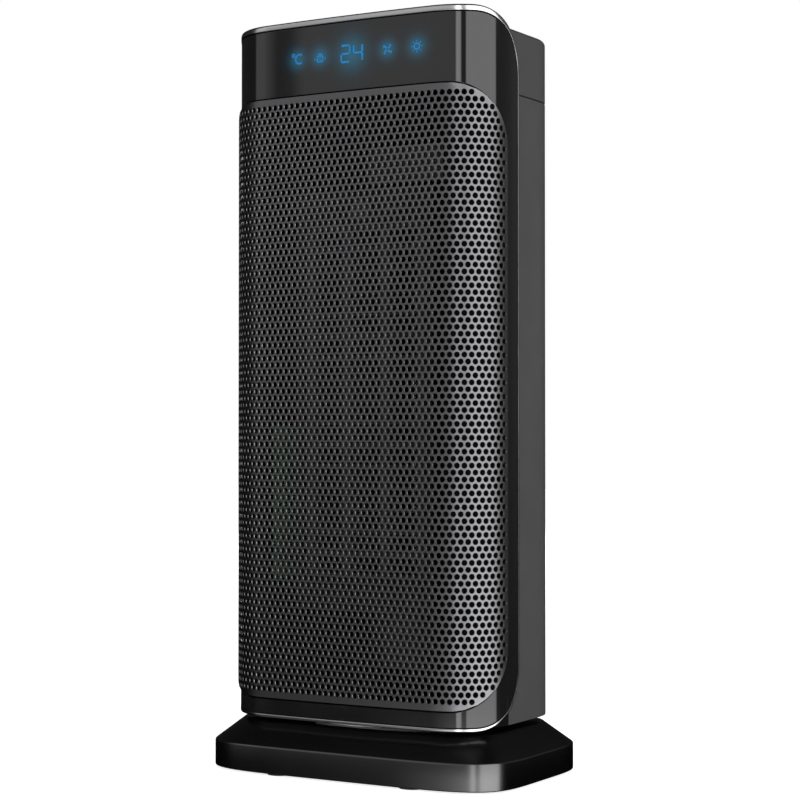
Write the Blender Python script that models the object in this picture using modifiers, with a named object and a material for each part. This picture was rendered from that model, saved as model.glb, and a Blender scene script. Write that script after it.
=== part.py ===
# Ceramic tower heater on an oscillating base, as separate pieces.
# Frame: metres, +Z up, front towards -Y, origin on the floor under the middle of the base.
# The tower turns about the world Z axis.

from math import atan2, cos, hypot, pi, radians, sin, tan

import bmesh
import bpy
from mathutils import Vector

mm = 0.001
gap = 0.3 * mm                     # clearance between pieces that touch

# ---- tower, overall ----
tower_width = 203 * mm
tower_height = 456 * mm
tower_depth = 122 * mm
front_corner = 40.5 * mm           # plan radius where the front turns into the sides
front_crown = radians(3)           # slope of the slightly domed front where that radius starts
front_wrap = 48.2 * mm             # depth from the front to the rear edge of the front panel
outline_corner = 40.5 * mm         # corner radius of the front's outline, measured along the surface
rear_corner = 36.5 * mm
tower_gap = 2.4 * mm               # air between base and tower

# ---- front layers, measured inwards from the panel's face ----
panel_thickness = 2.5 * mm
frame_thickness = 1.65 * mm
trim_top = 4.2 * mm
trim_side = 1.5 * mm
trim_bottom = 1.8 * mm
trim_corner = 38 * mm
trim_proud = 0.3 * mm
grille_side_margin = 16.1 * mm     # from the panel's edges to the grille's
grille_top_margin = 50 * mm
grille_bottom_margin = 13.3 * mm
grille_corner = 40 * mm
grille_proud = 1.9 * mm
grille_thickness = 1.2 * mm
grille_rim = 2.5 * mm
window_gap = 1.0 * mm              # groove round the grille
grille_seat = 3.0 * mm             # how far the inner frame reaches under the grille
display_height = 25.3 * mm         # middle of the display, below the tower's top
display_window = (124 * mm, 18 * mm)
display_cut_depth = 20 * mm

# ---- rear housing ----
housing_wall = 2.5 * mm
housing_lift = 1.5 * mm            # housing's lower edge above the trim's
housing_opening = 70 * mm          # half of the front opening, measured along the surface
cap_drop = 10 * mm                 # top of the cap below the top of the panel
cap_height = 42 * mm
cap_edge = 3 * mm
floor_thickness = 2.5 * mm
intake_width = 110 * mm
intake_drop = 55 * mm              # top of the intake, below the hand grip
intake_low = 74 * mm               # above the tower's lower edge
intake_corner = 6 * mm
cover_thickness = 2.2 * mm
foam_thickness = 5 * mm
slot_pitch = 10 * mm
slot_columns = 2
slot_height = 4.5 * mm
slot_margin = 8 * mm
slot_rib = 6 * mm
notch_radius = 9 * mm
foam_inset = 3 * mm
grip_size = (90 * mm, 22 * mm, 26 * mm)
grip_drop = 32 * mm                # middle of the grip, below the cap's seam
grip_wall = 1.8 * mm
switch_place = (-36 * mm, 44 * mm) # across, and above the tower's lower edge
switch_body = (18.4 * mm, 16 * mm, 22.4 * mm)
switch_flange = (21 * mm, 1.5 * mm, 26 * mm)
rocker_size = (10 * mm, 15 * mm)
rocker_tilt = radians(9)
rocker_well_depth = 9 * mm
cut_reach = 4 * mm                 # how far a cutter runs past the wall it cuts

# ---- base ----
base_half_width = 112.5 * mm
base_half_depth = 72 * mm
base_power = 5                     # exponent of the base's superellipse
base_ground_gap = 1.35 * mm
base_wall_top = 18.7 * mm
base_slope_inset = 17.2 * mm
base_top = 33.6 * mm
base_shell = 2.5 * mm
base_edge = 1.2 * mm
base_plate_thickness = 2 * mm
foot_radius = 8.5 * mm
foot_place = (50 * mm, 60 * mm)
ballast_size = (150 * mm, 38 * mm, 7.5 * mm)
ballast_place = 40 * mm
gland_bore = 3.2 * mm
gland_wall = 1.5 * mm
gland_flange = 1.6 * mm
gland_sleeve = 3 * mm              # length inside the flange
gland_cut_reach = 6 * mm
hub_cut_depth = 8 * mm

# ---- turntable and drive ----
hub_radius = 14 * mm
hub_wall = 3.5 * mm
hub_play = 0.8 * mm
hub_flange = 36 * mm
hub_drop = 17.5 * mm               # tube below the base's top
ring_inner = 44 * mm
ring_outer = 52 * mm
hub_flange_gap = 0.6 * mm          # under the flange
gear_module = 1.5 * mm
gear_addendum = 0.9                # tooth above the pitch circle, in modules
gear_dedendum = 1.2                # tooth below the pitch circle, in modules
gear_ceiling_gap = 2.6 * mm        # between the gears and the base's top wall
sector_rear_wall = 8 * mm
sector_teeth = 42                  # as on a full wheel
pinion_teeth = 12
pressure_angle = radians(25)
tooth_backlash = 0.5 * mm
gear_width = 5.5 * mm
sector_span = radians(60)          # toothed arc each side of the middle
motor_radius = 14 * mm
motor_shaft = 2.5 * mm
washer_radius = 20 * mm
washer_width = 3 * mm

# ---- tip-over switch ----
tip_place = (72 * mm, -22 * mm)
tip_rod = 3 * mm
tip_collar = 5.2 * mm
tip_travel = 4 * mm
tip_housing = (24 * mm, 13 * mm)
tip_housing_height = 10.5 * mm
tip_hole_play = 0.5 * mm
tip_engaged = 2 * mm               # rod inside the housing
tip_collar_height = 1.5 * mm
tip_rod_end = 0.2 * mm             # above the floor
tip_chamfer = 0.8 * mm
spring_radius = 4.3 * mm
spring_wire = 0.4 * mm
spring_turns = 5

# ---- blower and heater ----
blower_place = (8 * mm, 16 * mm)
blower_radius = 28 * mm
blade_depth = 7 * mm
blade_count = 20
blade_thickness = 1.0 * mm
duct_low = 71 * mm                 # lower duct plate above the tower's lower edge
duct_drop = 15 * mm                # top of the duct, below the hand grip
duct_plate = 3 * mm
duct_front = 42 * mm
blower_end_gap = 5 * mm
disc_thickness = 2 * mm
disc_rim = 3 * mm                  # middle disc, inside the blades
blade_embed = 0.5 * mm             # blade's ends inside the outer discs
blade_edge = 0.6 * mm              # blade's outer edge inside the discs' rim
blade_middle_lean = radians(3)
blade_outer_lean = radians(11)
shaft_overrun = 6 * mm             # shaft past the duct, and inside the motor's ends
bearing_overlap = 1.5 * mm         # bearing below the upper duct plate
shaft_radius = 3 * mm
bearing_radius = 7 * mm
bearing_height = 6 * mm
rubber_wall = 2.7 * mm
fan_motor_radius = 27 * mm
fan_motor_height = 42 * mm
fan_motor_boss = 9 * mm
fan_motor_shoulder = 3 * mm
duct_front_gap = 20 * mm           # duct plates in front of the duct's front
duct_rear_gap = 6 * mm             # duct plates to the foam
duct_side_margin = 2 * mm
scroll_start = radians(72)
scroll_end = radians(-35)
scroll_steps = 9
tongue_start = radians(215)
tongue_step = radians(12)
tongue_steps = 4
duct_joint_inset = 3 * mm
duct_joint_gap = 1 * mm            # scroll and tongue to the heater's frame
scroll_gap = 4 * mm
scroll_growth = 6.5 * mm           # per radian
tongue_gap = 3 * mm
duct_wall = 1.5 * mm
heater_half_width = 52 * mm
heater_thickness = 18 * mm
heater_rear = -20 * mm
heater_border = 6 * mm
heater_end_border = 18 * mm
core_columns = 3
core_pitch = 14 * mm
core_bar = 6 * mm
core_fin = 2.2 * mm
core_thickness = 14 * mm
cutout_radius = 7 * mm
cutout_height = 5 * mm
fuse_radius = 2 * mm
fuse_length = 14 * mm
fuse_place = 26 * mm

# ---- screws ----
screw_shank = 1.5 * mm
screw_head = 3 * mm
screw_head_height = 1.6 * mm
flat_head_height = 0.9 * mm
hub_screw_circle = 25 * mm
hub_screw_count = 2
hub_screw_end_gap = 0.5 * mm
housing_screw_inset = 8 * mm       # from the rounded corners
housing_screw_height = 12 * mm
housing_screw_length = 7 * mm
base_screw_inset = (27 * mm, 24 * mm)
base_screw_length = 9 * mm

# ---- electronics ----
board_thickness = 1.6 * mm
display_board_size = (126 * mm, 28 * mm)
light_guide_size = (116 * mm, 6.4 * mm, 14 * mm)
power_board_size = (62 * mm, 104 * mm)
power_board_place = (-81 * mm, 8 * mm, 88 * mm)
board_cap_gap = 2.5 * mm           # display board below the cap's top wall
guide_gap = 0.5 * mm               # light guide behind the panel
buzzer_size = (5 * mm, 6 * mm)     # radius and height
buzzer_place = 38 * mm
relay_size = (15 * mm, 19 * mm, 15 * mm)
relay_place = (-14.5 * mm, 12 * mm)
capacitor_size = (6 * mm, 14 * mm) # radius and height
capacitor_place = (14 * mm, 30 * mm)
sensor_size = (5 * mm, 3 * mm, 13.7 * mm)
sensor_inset = 12 * mm             # from the intake's side
sensor_foam_gap = 2.4 * mm

# ---- places worked out from the sizes ----
front_y = -tower_depth / 2
rear_y = tower_depth / 2
tower_z = base_top + tower_gap
tower_top = tower_z + tower_height
crown_radius = (tower_width / 2 - front_corner * (1 - sin(front_crown))) / sin(front_crown)
crown_length = crown_radius * front_crown
corner_end = crown_length + front_corner * (pi / 2 - front_crown)
corner_depth = crown_radius * (1 - cos(front_crown)) + front_corner * cos(front_crown)
panel_edge = corner_end + front_wrap - corner_depth
layer_gap = panel_thickness + gap
housing_inset = layer_gap + frame_thickness + gap
inner_inset = housing_inset + housing_wall
housing_low = tower_z + housing_lift
cap_top = tower_top - cap_drop
cap_low = cap_top - cap_height
inside_rear = rear_y - housing_wall
flat_rear = tower_width / 2 - housing_inset - rear_corner
display_z = tower_top - display_height
plate_low = base_ground_gap + 0.65 * mm
plate_top = plate_low + base_plate_thickness
base_ceiling = base_top - base_shell
gland_radius = gland_bore + gland_wall
gland_z = plate_top + gap + gland_radius + gland_flange
gear_distance = gear_module * (sector_teeth + pinion_teeth) / 2
gear_top = base_ceiling - gear_ceiling_gap
gear_low = gear_top - gear_width
duct_floor = tower_z + duct_low
grip_z = cap_low - grip_drop
grip_low = grip_z - grip_size[2] / 2
duct_ceiling = grip_low - duct_drop
intake_z = tower_z + intake_low
intake_height = grip_low - intake_drop - intake_z


# ---- scene, materials, helpers ----
for old in list(bpy.data.objects):
    bpy.data.objects.remove(old, do_unlink=True)
parts = bpy.data.collections.new("ceramic_heater")
cutters = bpy.data.collections.new("cutters")
bpy.context.scene.collection.children.link(parts)
bpy.context.scene.collection.children.link(cutters)


def make_material(name, colour, roughness, metallic=0.0):
    material = bpy.data.materials.new(name)
    material.use_nodes = True
    shader = material.node_tree.nodes["Principled BSDF"]
    shader.inputs["Base Color"].default_value = (*colour, 1)
    shader.inputs["Roughness"].default_value = roughness
    shader.inputs["Metallic"].default_value = metallic
    return material


gloss_black = make_material("gloss_black", (0.012, 0.012, 0.013), 0.12)
satin_black = make_material("satin_black", (0.035, 0.035, 0.037), 0.42)
matte_black = make_material("matte_black", (0.02, 0.02, 0.021), 0.6)
grille_metal = make_material("grille_metal", (0.09, 0.09, 0.095), 0.38, 0.7)
silver_trim = make_material("silver_trim", (0.62, 0.63, 0.65), 0.22, 1.0)
rubber_black = make_material("rubber_black", (0.015, 0.015, 0.015), 0.85)
steel = make_material("steel", (0.5, 0.5, 0.52), 0.35, 1.0)
aluminium = make_material("aluminium", (0.7, 0.7, 0.72), 0.4, 1.0)
nylon_white = make_material("nylon_white", (0.75, 0.74, 0.7), 0.5)
heat_resin = make_material("heat_resin", (0.12, 0.1, 0.09), 0.55)
foam_grey = make_material("foam_grey", (0.06, 0.06, 0.06), 0.95)
board_green = make_material("board_green", (0.03, 0.13, 0.06), 0.45)
light_clear = make_material("light_clear", (0.55, 0.7, 0.85), 0.2)


def add_mesh(name, mesh_builder, material, location=(0, 0, 0), rotation=(0, 0, 0), collection=parts):
    mesh = bpy.data.meshes.new(name)
    mesh_builder.to_mesh(mesh)
    mesh_builder.free()
    obj = bpy.data.objects.new(name, mesh)
    obj.location = location
    obj.rotation_euler = rotation
    collection.objects.link(obj)
    if material:
        mesh.materials.append(material)
    mesh.shade_smooth()
    mesh.set_sharp_from_angle(angle=radians(32))
    if collection is cutters:
        obj.hide_render = True
        obj.display_type = "WIRE"
    return obj


def face_outwards(builder):
    bmesh.ops.recalc_face_normals(builder, faces=builder.faces)
    if builder.calc_volume(signed=True) < 0:
        bmesh.ops.reverse_faces(builder, faces=builder.faces)


def extruded_outlines(outlines, low, high):
    # The first outline is the edge, the others are holes.
    curve = bpy.data.curves.new("outline", "CURVE")
    curve.dimensions = "2D"
    curve.fill_mode = "BOTH"
    curve.extrude = (high - low) / 2
    for outline in outlines:
        spline = curve.splines.new("POLY")
        spline.points.add(len(outline) - 1)
        for point, (x, y) in zip(spline.points, outline):
            point.co = (x, y, 0, 1)
        spline.use_cyclic_u = True
    holder = bpy.data.objects.new("outline", curve)
    bpy.context.scene.collection.objects.link(holder)
    evaluated = holder.evaluated_get(bpy.context.evaluated_depsgraph_get())
    mesh = bpy.data.meshes.new_from_object(evaluated)
    builder = bmesh.new()
    builder.from_mesh(mesh)
    bmesh.ops.remove_doubles(builder, verts=builder.verts, dist=0.001 * mm)
    bmesh.ops.translate(builder, verts=builder.verts, vec=(0, 0, (high + low) / 2))
    face_outwards(builder)
    bpy.data.objects.remove(holder, do_unlink=True)
    bpy.data.curves.remove(curve)
    bpy.data.meshes.remove(mesh)
    return builder


def add_plate(name, outlines, low, high, material, location=(0, 0, 0), rotation=(0, 0, 0), collection=parts):
    builder = extruded_outlines(outlines, low, high)
    return add_mesh(name, builder, material, location, rotation, collection)


def add_wall_plate(name, outlines, front, rear, material, location=(0, 0, 0), collection=parts):
    # A plate standing in the XZ plane; its outline is given as (x, z).
    upright = (pi / 2, 0, 0)
    return add_plate(name, outlines, -rear, -front, material, location, upright, collection)


def add_box(name, low, high, material, collection=parts):
    builder = bmesh.new()
    bmesh.ops.create_cube(builder, size=1)
    size = [b - a for a, b in zip(low, high)]
    middle = [(a + b) / 2 for a, b in zip(low, high)]
    bmesh.ops.scale(builder, verts=builder.verts, vec=size)
    return add_mesh(name, builder, material, middle, collection=collection)


def add_rod(name, radius, low, high, material, location=(0, 0, 0), rotation=(0, 0, 0), sides=32,
            collection=parts):
    builder = bmesh.new()
    bmesh.ops.create_cone(builder, cap_ends=True, segments=sides, radius1=radius, radius2=radius,
                          depth=high - low)
    bmesh.ops.translate(builder, verts=builder.verts, vec=(0, 0, (high + low) / 2))
    return add_mesh(name, builder, material, location, rotation, collection)


def add_turned(name, profile, material, location=(0, 0, 0), rotation=(0, 0, 0), steps=32, ring=False):
    # The profile is (radius, height) from the top down the outer side; a ring closes on itself.
    builder = bmesh.new()
    points = [builder.verts.new((radius, 0, height)) for radius, height in profile]
    for first, second in zip(points, points[1:]):
        builder.edges.new((first, second))
    if ring:
        builder.edges.new((points[-1], points[0]))
    obj = add_mesh(name, builder, material, location, rotation)
    screw = obj.modifiers.new("turn", "SCREW")
    screw.steps = steps
    screw.render_steps = steps
    screw.use_merge_vertices = True
    screw.merge_threshold = 0.01 * mm
    return obj


def add_ring(name, inner, outer, low, high, material, location=(0, 0, 0), steps=32):
    profile = [(inner, high), (outer, high), (outer, low), (inner, low)]
    return add_turned(name, profile, material, location, steps=steps, ring=True)


def cut(obj, cutter):
    boolean = obj.modifiers.new("cut", "BOOLEAN")
    boolean.operation = "DIFFERENCE"
    boolean.solver = "EXACT"
    boolean.object = cutter


# ---- outlines ----
def rectangle(left, right, bottom, top, radius=0.0, steps=6):
    if radius == 0:
        return [(left, bottom), (right, bottom), (right, top), (left, top)]
    points = []
    centres = [(right - radius, bottom + radius, -pi / 2), (right - radius, top - radius, 0),
               (left + radius, top - radius, pi / 2), (left + radius, bottom + radius, pi)]
    for x, y, start in centres:
        for step in range(steps + 1):
            angle = start + step * pi / 2 / steps
            points.append((x + radius * cos(angle), y + radius * sin(angle)))
    return points


def circle(radius, steps=32, x=0.0, y=0.0):
    turn = 2 * pi / steps
    return [(x + radius * cos(turn * i), y + radius * sin(turn * i)) for i in range(steps)]


def superellipse(half_width, half_depth, steps=52):
    points = []
    for i in range(steps):
        angle = 2 * pi * (i + 0.5) / steps
        across = abs(cos(angle)) ** (2 / base_power)
        along = abs(sin(angle)) ** (2 / base_power)
        x = half_width * (across if cos(angle) > 0 else -across)
        y = half_depth * (along if sin(angle) > 0 else -along)
        points.append((x, y))
    return points


def front_point(distance, outward=0.0):
    # Plan position on the front at a distance along its surface from the middle.
    length = abs(distance)
    side = 1 if distance >= 0 else -1
    if length < crown_length:
        angle = length / crown_radius
        x = crown_radius * sin(angle)
        y = crown_radius * (1 - cos(angle))
    elif length < corner_end:
        angle = front_crown + (length - crown_length) / front_corner
        x = tower_width / 2 - front_corner + front_corner * sin(angle)
        y = corner_depth - front_corner * cos(angle)
    else:
        angle = pi / 2
        x = tower_width / 2
        y = corner_depth + length - corner_end
    return side * (x + outward * sin(angle)), front_y + y - outward * cos(angle)


corner_facets = 8
crown_facets = 2
right_stations = [crown_length * i / crown_facets for i in range(crown_facets)]
corner_span = corner_end - crown_length
right_stations += [crown_length + corner_span * i / corner_facets for i in range(corner_facets + 1)]
stations = [-s for s in reversed(right_stations[1:])] + right_stations


def housing_half(inset, start):
    # Right half of the housing's plan, from a distance on the front round to the middle of the rear.
    first = front_point(start, -inset)
    points = [first] + [front_point(s, -inset) for s in stations if s > start + 0.5 * mm]
    extra = inset - housing_inset
    radius = rear_corner - extra
    centre_x = tower_width / 2 - housing_inset - rear_corner
    centre_y = rear_y - rear_corner
    for step in range(7):
        angle = step * pi / 12
        points.append((centre_x + radius * cos(angle), centre_y + radius * sin(angle)))
    return points


def mirrored(points):
    return [(-x, y) for x, y in reversed(points)]


def housing_plan(inset):
    half = housing_half(inset, 0)
    return half + mirrored(half)[:-1]


def add_bent_plate(name, outlines, outer, inner, material):
    # A flat plate, creased along the stations and wrapped round the front. Depths are outwards.
    builder = extruded_outlines(outlines, inner, outer)
    for station in stations:
        everything = builder.verts[:] + builder.edges[:] + builder.faces[:]
        bmesh.ops.bisect_plane(builder, geom=everything, plane_co=(station, 0, 0), plane_no=(1, 0, 0),
                               dist=0.01 * mm)
    for vert in builder.verts:
        x, y = front_point(vert.co.x, vert.co.z)
        vert.co = Vector((x, y, vert.co.y))
    face_outwards(builder)
    return add_mesh(name, builder, material)


# ---- front: trim, panel, frame, grille ----
def trim_outline(extra=0.0):
    side = panel_edge - trim_side - extra
    radius = trim_corner - extra
    return rectangle(-side, side, tower_z + trim_bottom + extra, tower_top - trim_top - extra, radius)


def grille_outline(grow=0.0):
    side = panel_edge - grille_side_margin + grow
    low = tower_z + grille_bottom_margin - grow
    high = tower_top - grille_top_margin + grow
    return rectangle(-side, side, low, high, grille_corner + grow)


def build_front():
    edge = rectangle(-panel_edge, panel_edge, tower_z, tower_top, outline_corner)
    add_bent_plate("trim_ring", [edge, trim_outline()], trim_proud, gap - housing_inset, silver_trim)
    face = trim_outline(gap)
    add_bent_plate("front_panel", [face, grille_outline(window_gap)], 0, -panel_thickness, gloss_black)
    half_window = display_window[0] / 2
    window = rectangle(-half_window, half_window, display_z - display_window[1] / 2,
                       display_z + display_window[1] / 2)
    add_bent_plate("front_frame", [face, grille_outline(-grille_seat), window], -layer_gap,
                   -layer_gap - frame_thickness, matte_black)
    grille_back = grille_proud - grille_thickness
    add_bent_plate("front_grille", [grille_outline()], grille_proud, grille_back, grille_metal)
    add_bent_plate("grille_frame", [grille_outline(), grille_outline(-grille_rim)], grille_back - gap,
                   -panel_thickness, matte_black)


# ---- rear housing, cap, floor ----
def build_housing():
    outer = housing_half(housing_inset, housing_opening)
    inner = housing_half(inner_inset, housing_opening)
    section = outer + mirrored(outer) + list(reversed(mirrored(inner))) + list(reversed(inner))
    housing = add_plate("rear_housing", [section], housing_low, cap_low - gap, satin_black)
    intake = rectangle(-intake_width / 2, intake_width / 2, intake_z, intake_z + intake_height,
                       intake_corner, 3)
    cut_front = inside_rear - cut_reach
    cut_rear = rear_y + cut_reach
    cut(housing, add_wall_plate("intake_cut", [intake], cut_front, cut_rear, None, collection=cutters))
    grip_x = grip_size[0] / 2 + gap
    grip_half = grip_size[2] / 2 + gap
    cut(housing, add_box("grip_cut", (-grip_x, cut_front, grip_z - grip_half),
                         (grip_x, cut_rear, grip_z + grip_half), None, cutters))
    x, z = switch_place[0], tower_z + switch_place[1]
    half_x = switch_body[0] / 2 + gap
    half_z = switch_body[2] / 2 + gap
    cut(housing, add_box("switch_cut", (x - half_x, cut_front, z - half_z),
                         (x + half_x, cut_rear, z + half_z), None, cutters))
    for index, (x, z) in enumerate(housing_screw_places()):
        drill = add_rod(f"screw_drill_{index + 1}", screw_shank + gap, -cut_reach, 2 * cut_reach, None,
                        (x, rear_y, z), (pi / 2, 0, 0), 16, cutters)
        cut(housing, drill)


def build_cap():
    builder = bmesh.new()
    outline = housing_plan(housing_inset)
    face = builder.faces.new([builder.verts.new((x, y, cap_top)) for x, y in outline])
    result = bmesh.ops.extrude_edge_only(builder, edges=face.edges[:])
    moved = [item for item in result["geom"] if isinstance(item, bmesh.types.BMVert)]
    bmesh.ops.translate(builder, verts=moved, vec=(0, 0, cap_low - cap_top))
    bmesh.ops.recalc_face_normals(builder, faces=builder.faces)
    if face.normal.z < 0:
        bmesh.ops.reverse_faces(builder, faces=builder.faces)
    cap = add_mesh("top_cap", builder, satin_black)
    bevel = cap.modifiers.new("edge", "BEVEL")
    bevel.width = cap_edge
    bevel.segments = 3
    bevel.limit_method = "ANGLE"
    bevel.angle_limit = radians(60)
    shell = cap.modifiers.new("wall", "SOLIDIFY")
    shell.thickness = housing_wall
    shell.offset = -1
    shell.use_even_offset = True
    half_window = display_window[0] / 2
    window = add_box("display_cut", (-half_window, front_y, display_z - display_window[1] / 2),
                     (half_window, front_y + display_cut_depth, display_z + display_window[1] / 2), None, cutters)
    cut(cap, window)


def add_screw(name, place, length, rotation=(0, 0, 0), head=screw_head_height):
    # Head on top of its bearing face at the place, shank along -Z before it is turned.
    profile = [(0, head), (0.7 * screw_head, head), (screw_head, 0),
               (screw_shank, 0), (screw_shank, -length), (0, -length)]
    add_turned(name, profile, steel, place, rotation, steps=16)


def housing_screw_places():
    side = flat_rear - housing_screw_inset
    low = housing_low + housing_screw_height
    return [(-side, low), (side, low)]


def hub_screw_places():
    turn = 2 * pi / hub_screw_count
    return [(hub_screw_circle * cos(turn * i), hub_screw_circle * sin(turn * i))
            for i in range(hub_screw_count)]


def build_floor():
    holes = [circle(hub_radius - hub_wall, 24)]
    holes += [circle(screw_shank + gap, 12, x, y) for x, y in hub_screw_places()]
    plan = housing_plan(inner_inset + gap)
    add_plate("tower_floor", [plan] + holes, housing_low, housing_low + floor_thickness, matte_black)
    for index, (x, z) in enumerate(housing_screw_places()):
        add_screw(f"housing_screw_{index + 1}", (x, rear_y + gap, z), housing_screw_length, (-pi / 2, 0, 0))


# ---- rear fittings ----
def build_filter():
    low = intake_z + gap
    high = low + intake_height - 2 * gap
    half = intake_width / 2 - gap
    edge = rectangle(-half, half, low, high, intake_corner, 3)
    first_top_left = next(i for i, (x, z) in enumerate(edge) if x < 0 and z > high - 0.01 * mm)
    notch = []
    for step in range(9):
        angle = -pi * step / 8
        notch.append((notch_radius * cos(angle), high + 0.6 * notch_radius * sin(angle)))
    edge = edge[:first_top_left] + notch + edge[first_top_left:]
    row_low = low + slot_margin
    row_high = high - slot_margin - notch_radius
    slot_rows = int((row_high - row_low) / slot_pitch)
    row_step = (row_high - row_low) / slot_rows
    slot_width = (2 * half - 2 * slot_margin - (slot_columns - 1) * slot_rib) / slot_columns
    slots = []
    for row in range(slot_rows):
        z = row_low + (row + 0.5) * row_step
        for column in range(slot_columns):
            x = -half + slot_margin + column * (slot_width + slot_rib)
            slots.append(rectangle(x, x + slot_width, z - slot_height / 2, z + slot_height / 2,
                                   slot_height / 2.2, 1))
    add_wall_plate("filter_cover", [edge] + slots, rear_y - cover_thickness, rear_y, satin_black)
    foam_rear = rear_y - cover_thickness - gap
    add_box("filter_foam", (-half + foam_inset, foam_rear - foam_thickness, low + foam_inset),
            (half - foam_inset, foam_rear, high - notch_radius), foam_grey)


def build_grip():
    # Moulded cup: the outer box with the hollow pushed in from its open rear face.
    width, depth, height = grip_size
    z = grip_z
    cup = add_box("grip_cup", (-width / 2, rear_y - depth, z - height / 2),
                  (width / 2, rear_y - 0.1 * mm, z + height / 2), satin_black)
    hollow = add_box("grip_hollow", (-width / 2 + grip_wall, rear_y - depth + grip_wall,
                                     z - height / 2 + grip_wall),
                     (width / 2 - grip_wall, rear_y + cut_reach, z + height / 2 - grip_wall), None, cutters)
    cut(cup, hollow)


def build_switch():
    x, z = switch_place[0], tower_z + switch_place[1]
    well_x = rocker_size[0] / 2 + 0.5 * mm
    well_z = rocker_size[1] / 2 + 0.6 * mm
    well = rectangle(-well_x, well_x, -well_z, well_z)
    flange_x, flange_depth, flange_z = switch_flange
    rim = rectangle(-flange_x / 2, flange_x / 2, -flange_z / 2, flange_z / 2, 1.5 * mm, 3)
    flange_low = rear_y + gap
    add_wall_plate("switch_bezel", [rim, well], flange_low, flange_low + flange_depth, gloss_black, (x, 0, z))
    body_x, body_depth, body_z = switch_body
    body_rear = rear_y
    body = add_box("switch_body", (x - body_x / 2, body_rear - body_depth, z - body_z / 2),
                   (x + body_x / 2, body_rear, z + body_z / 2), matte_black)
    cut(body, add_box("rocker_well", (x - well_x, body_rear - rocker_well_depth, z - well_z),
                      (x + well_x, body_rear + cut_reach, z + well_z), None, cutters))
    half = rocker_size[1] / 2
    pivot_y = rear_y - 2 * mm
    profile = [(-half, 3.4 * mm), (-half + 1.2 * mm, -2 * mm), (-2 * mm, -5 * mm), (2 * mm, -5 * mm),
               (half - 1.2 * mm, -2 * mm), (half, 3.4 * mm), (half / 2, 2.4 * mm), (0, 2.0 * mm),
               (-half / 2, 2.4 * mm)]
    sideways = [(depth, height) for height, depth in profile]
    builder = extruded_outlines([sideways], -rocker_size[0] / 2, rocker_size[0] / 2)
    for vert in builder.verts:
        vert.co = Vector((vert.co.z, vert.co.x, vert.co.y))
    face_outwards(builder)
    add_mesh("power_rocker", builder, gloss_black, (x, pivot_y, z), (rocker_tilt, 0, 0))


# ---- base ----
def build_base():
    inset = base_slope_inset
    rings = [(superellipse(base_half_width, base_half_depth), base_ground_gap),
             (superellipse(base_half_width, base_half_depth), base_wall_top),
             (superellipse(base_half_width - inset, base_half_depth - inset), base_top)]
    builder = bmesh.new()
    loops = [[builder.verts.new((x, y, z)) for x, y in points] for points, z in rings]
    count = len(loops[0])
    for lower, upper in zip(loops, loops[1:]):
        for i in range(count):
            j = (i + 1) % count
            builder.faces.new((lower[i], lower[j], upper[j], upper[i]))
    builder.faces.new(loops[-1])
    cover = add_mesh("base_cover", builder, gloss_black)
    bevel = cover.modifiers.new("edge", "BEVEL")
    bevel.width = base_edge
    bevel.segments = 1
    bevel.limit_method = "ANGLE"
    bevel.angle_limit = radians(35)
    shell = cover.modifiers.new("wall", "SOLIDIFY")
    shell.thickness = base_shell
    shell.offset = -1
    shell.use_even_offset = True
    cut(cover, add_rod("hub_cut", hub_radius + hub_play, base_top - hub_cut_depth, base_top + cut_reach, None,
                       sides=40, collection=cutters))
    cut(cover, add_rod("gland_cut", gland_radius + gap, -gland_cut_reach, gland_cut_reach, None,
                       (0, base_half_depth, gland_z), (pi / 2, 0, 0), 24, cutters))

    margin = base_shell + gap
    plan = superellipse(base_half_width - margin, base_half_depth - margin)
    holes = [circle(tip_rod + tip_hole_play, 16, *tip_place)]
    holes += [circle(screw_shank + gap, 12, x, y) for x, y in base_screw_places()]
    add_plate("base_plate", [plan] + holes, plate_low, plate_top, matte_black)
    for index, (sx, sy) in enumerate([(-1, -1), (1, -1), (1, 1), (-1, 1)]):
        add_rod(f"foot_{index + 1}", foot_radius, 0, plate_low - gap, rubber_black,
                (sx * foot_place[0], sy * foot_place[1], 0), sides=24)
    for index, (x, y) in enumerate(base_screw_places()):
        add_screw(f"base_screw_{index + 1}", (x, y, plate_low - gap), base_screw_length, (pi, 0, 0),
                  flat_head_height)
    width, depth, height = ballast_size
    ballast = rectangle(-width / 2, width / 2, ballast_place - depth / 2, ballast_place + depth / 2, 5 * mm, 3)
    add_plate("ballast_plate", [ballast], plate_top + gap, plate_top + gap + height, steel)

    outer_y = base_half_depth - 0.1 * mm
    inner_face = base_half_depth - base_shell - gap
    flange_y = inner_face - gland_flange
    wide = gland_radius + gland_flange
    gland = [(gland_bore, outer_y), (gland_radius, outer_y), (gland_radius, inner_face),
             (wide, inner_face), (wide, flange_y), (gland_radius, flange_y),
             (gland_radius, flange_y - gland_sleeve), (gland_bore, flange_y - gland_sleeve)]
    add_turned("cord_gland", gland, rubber_black, (0, 0, gland_z), (-pi / 2, 0, 0), 24, ring=True)


def base_screw_places():
    x, y = base_half_width - base_screw_inset[0], base_half_depth - base_screw_inset[1]
    return [(-x, -y), (x, -y), (x, y), (-x, y)]


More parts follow.
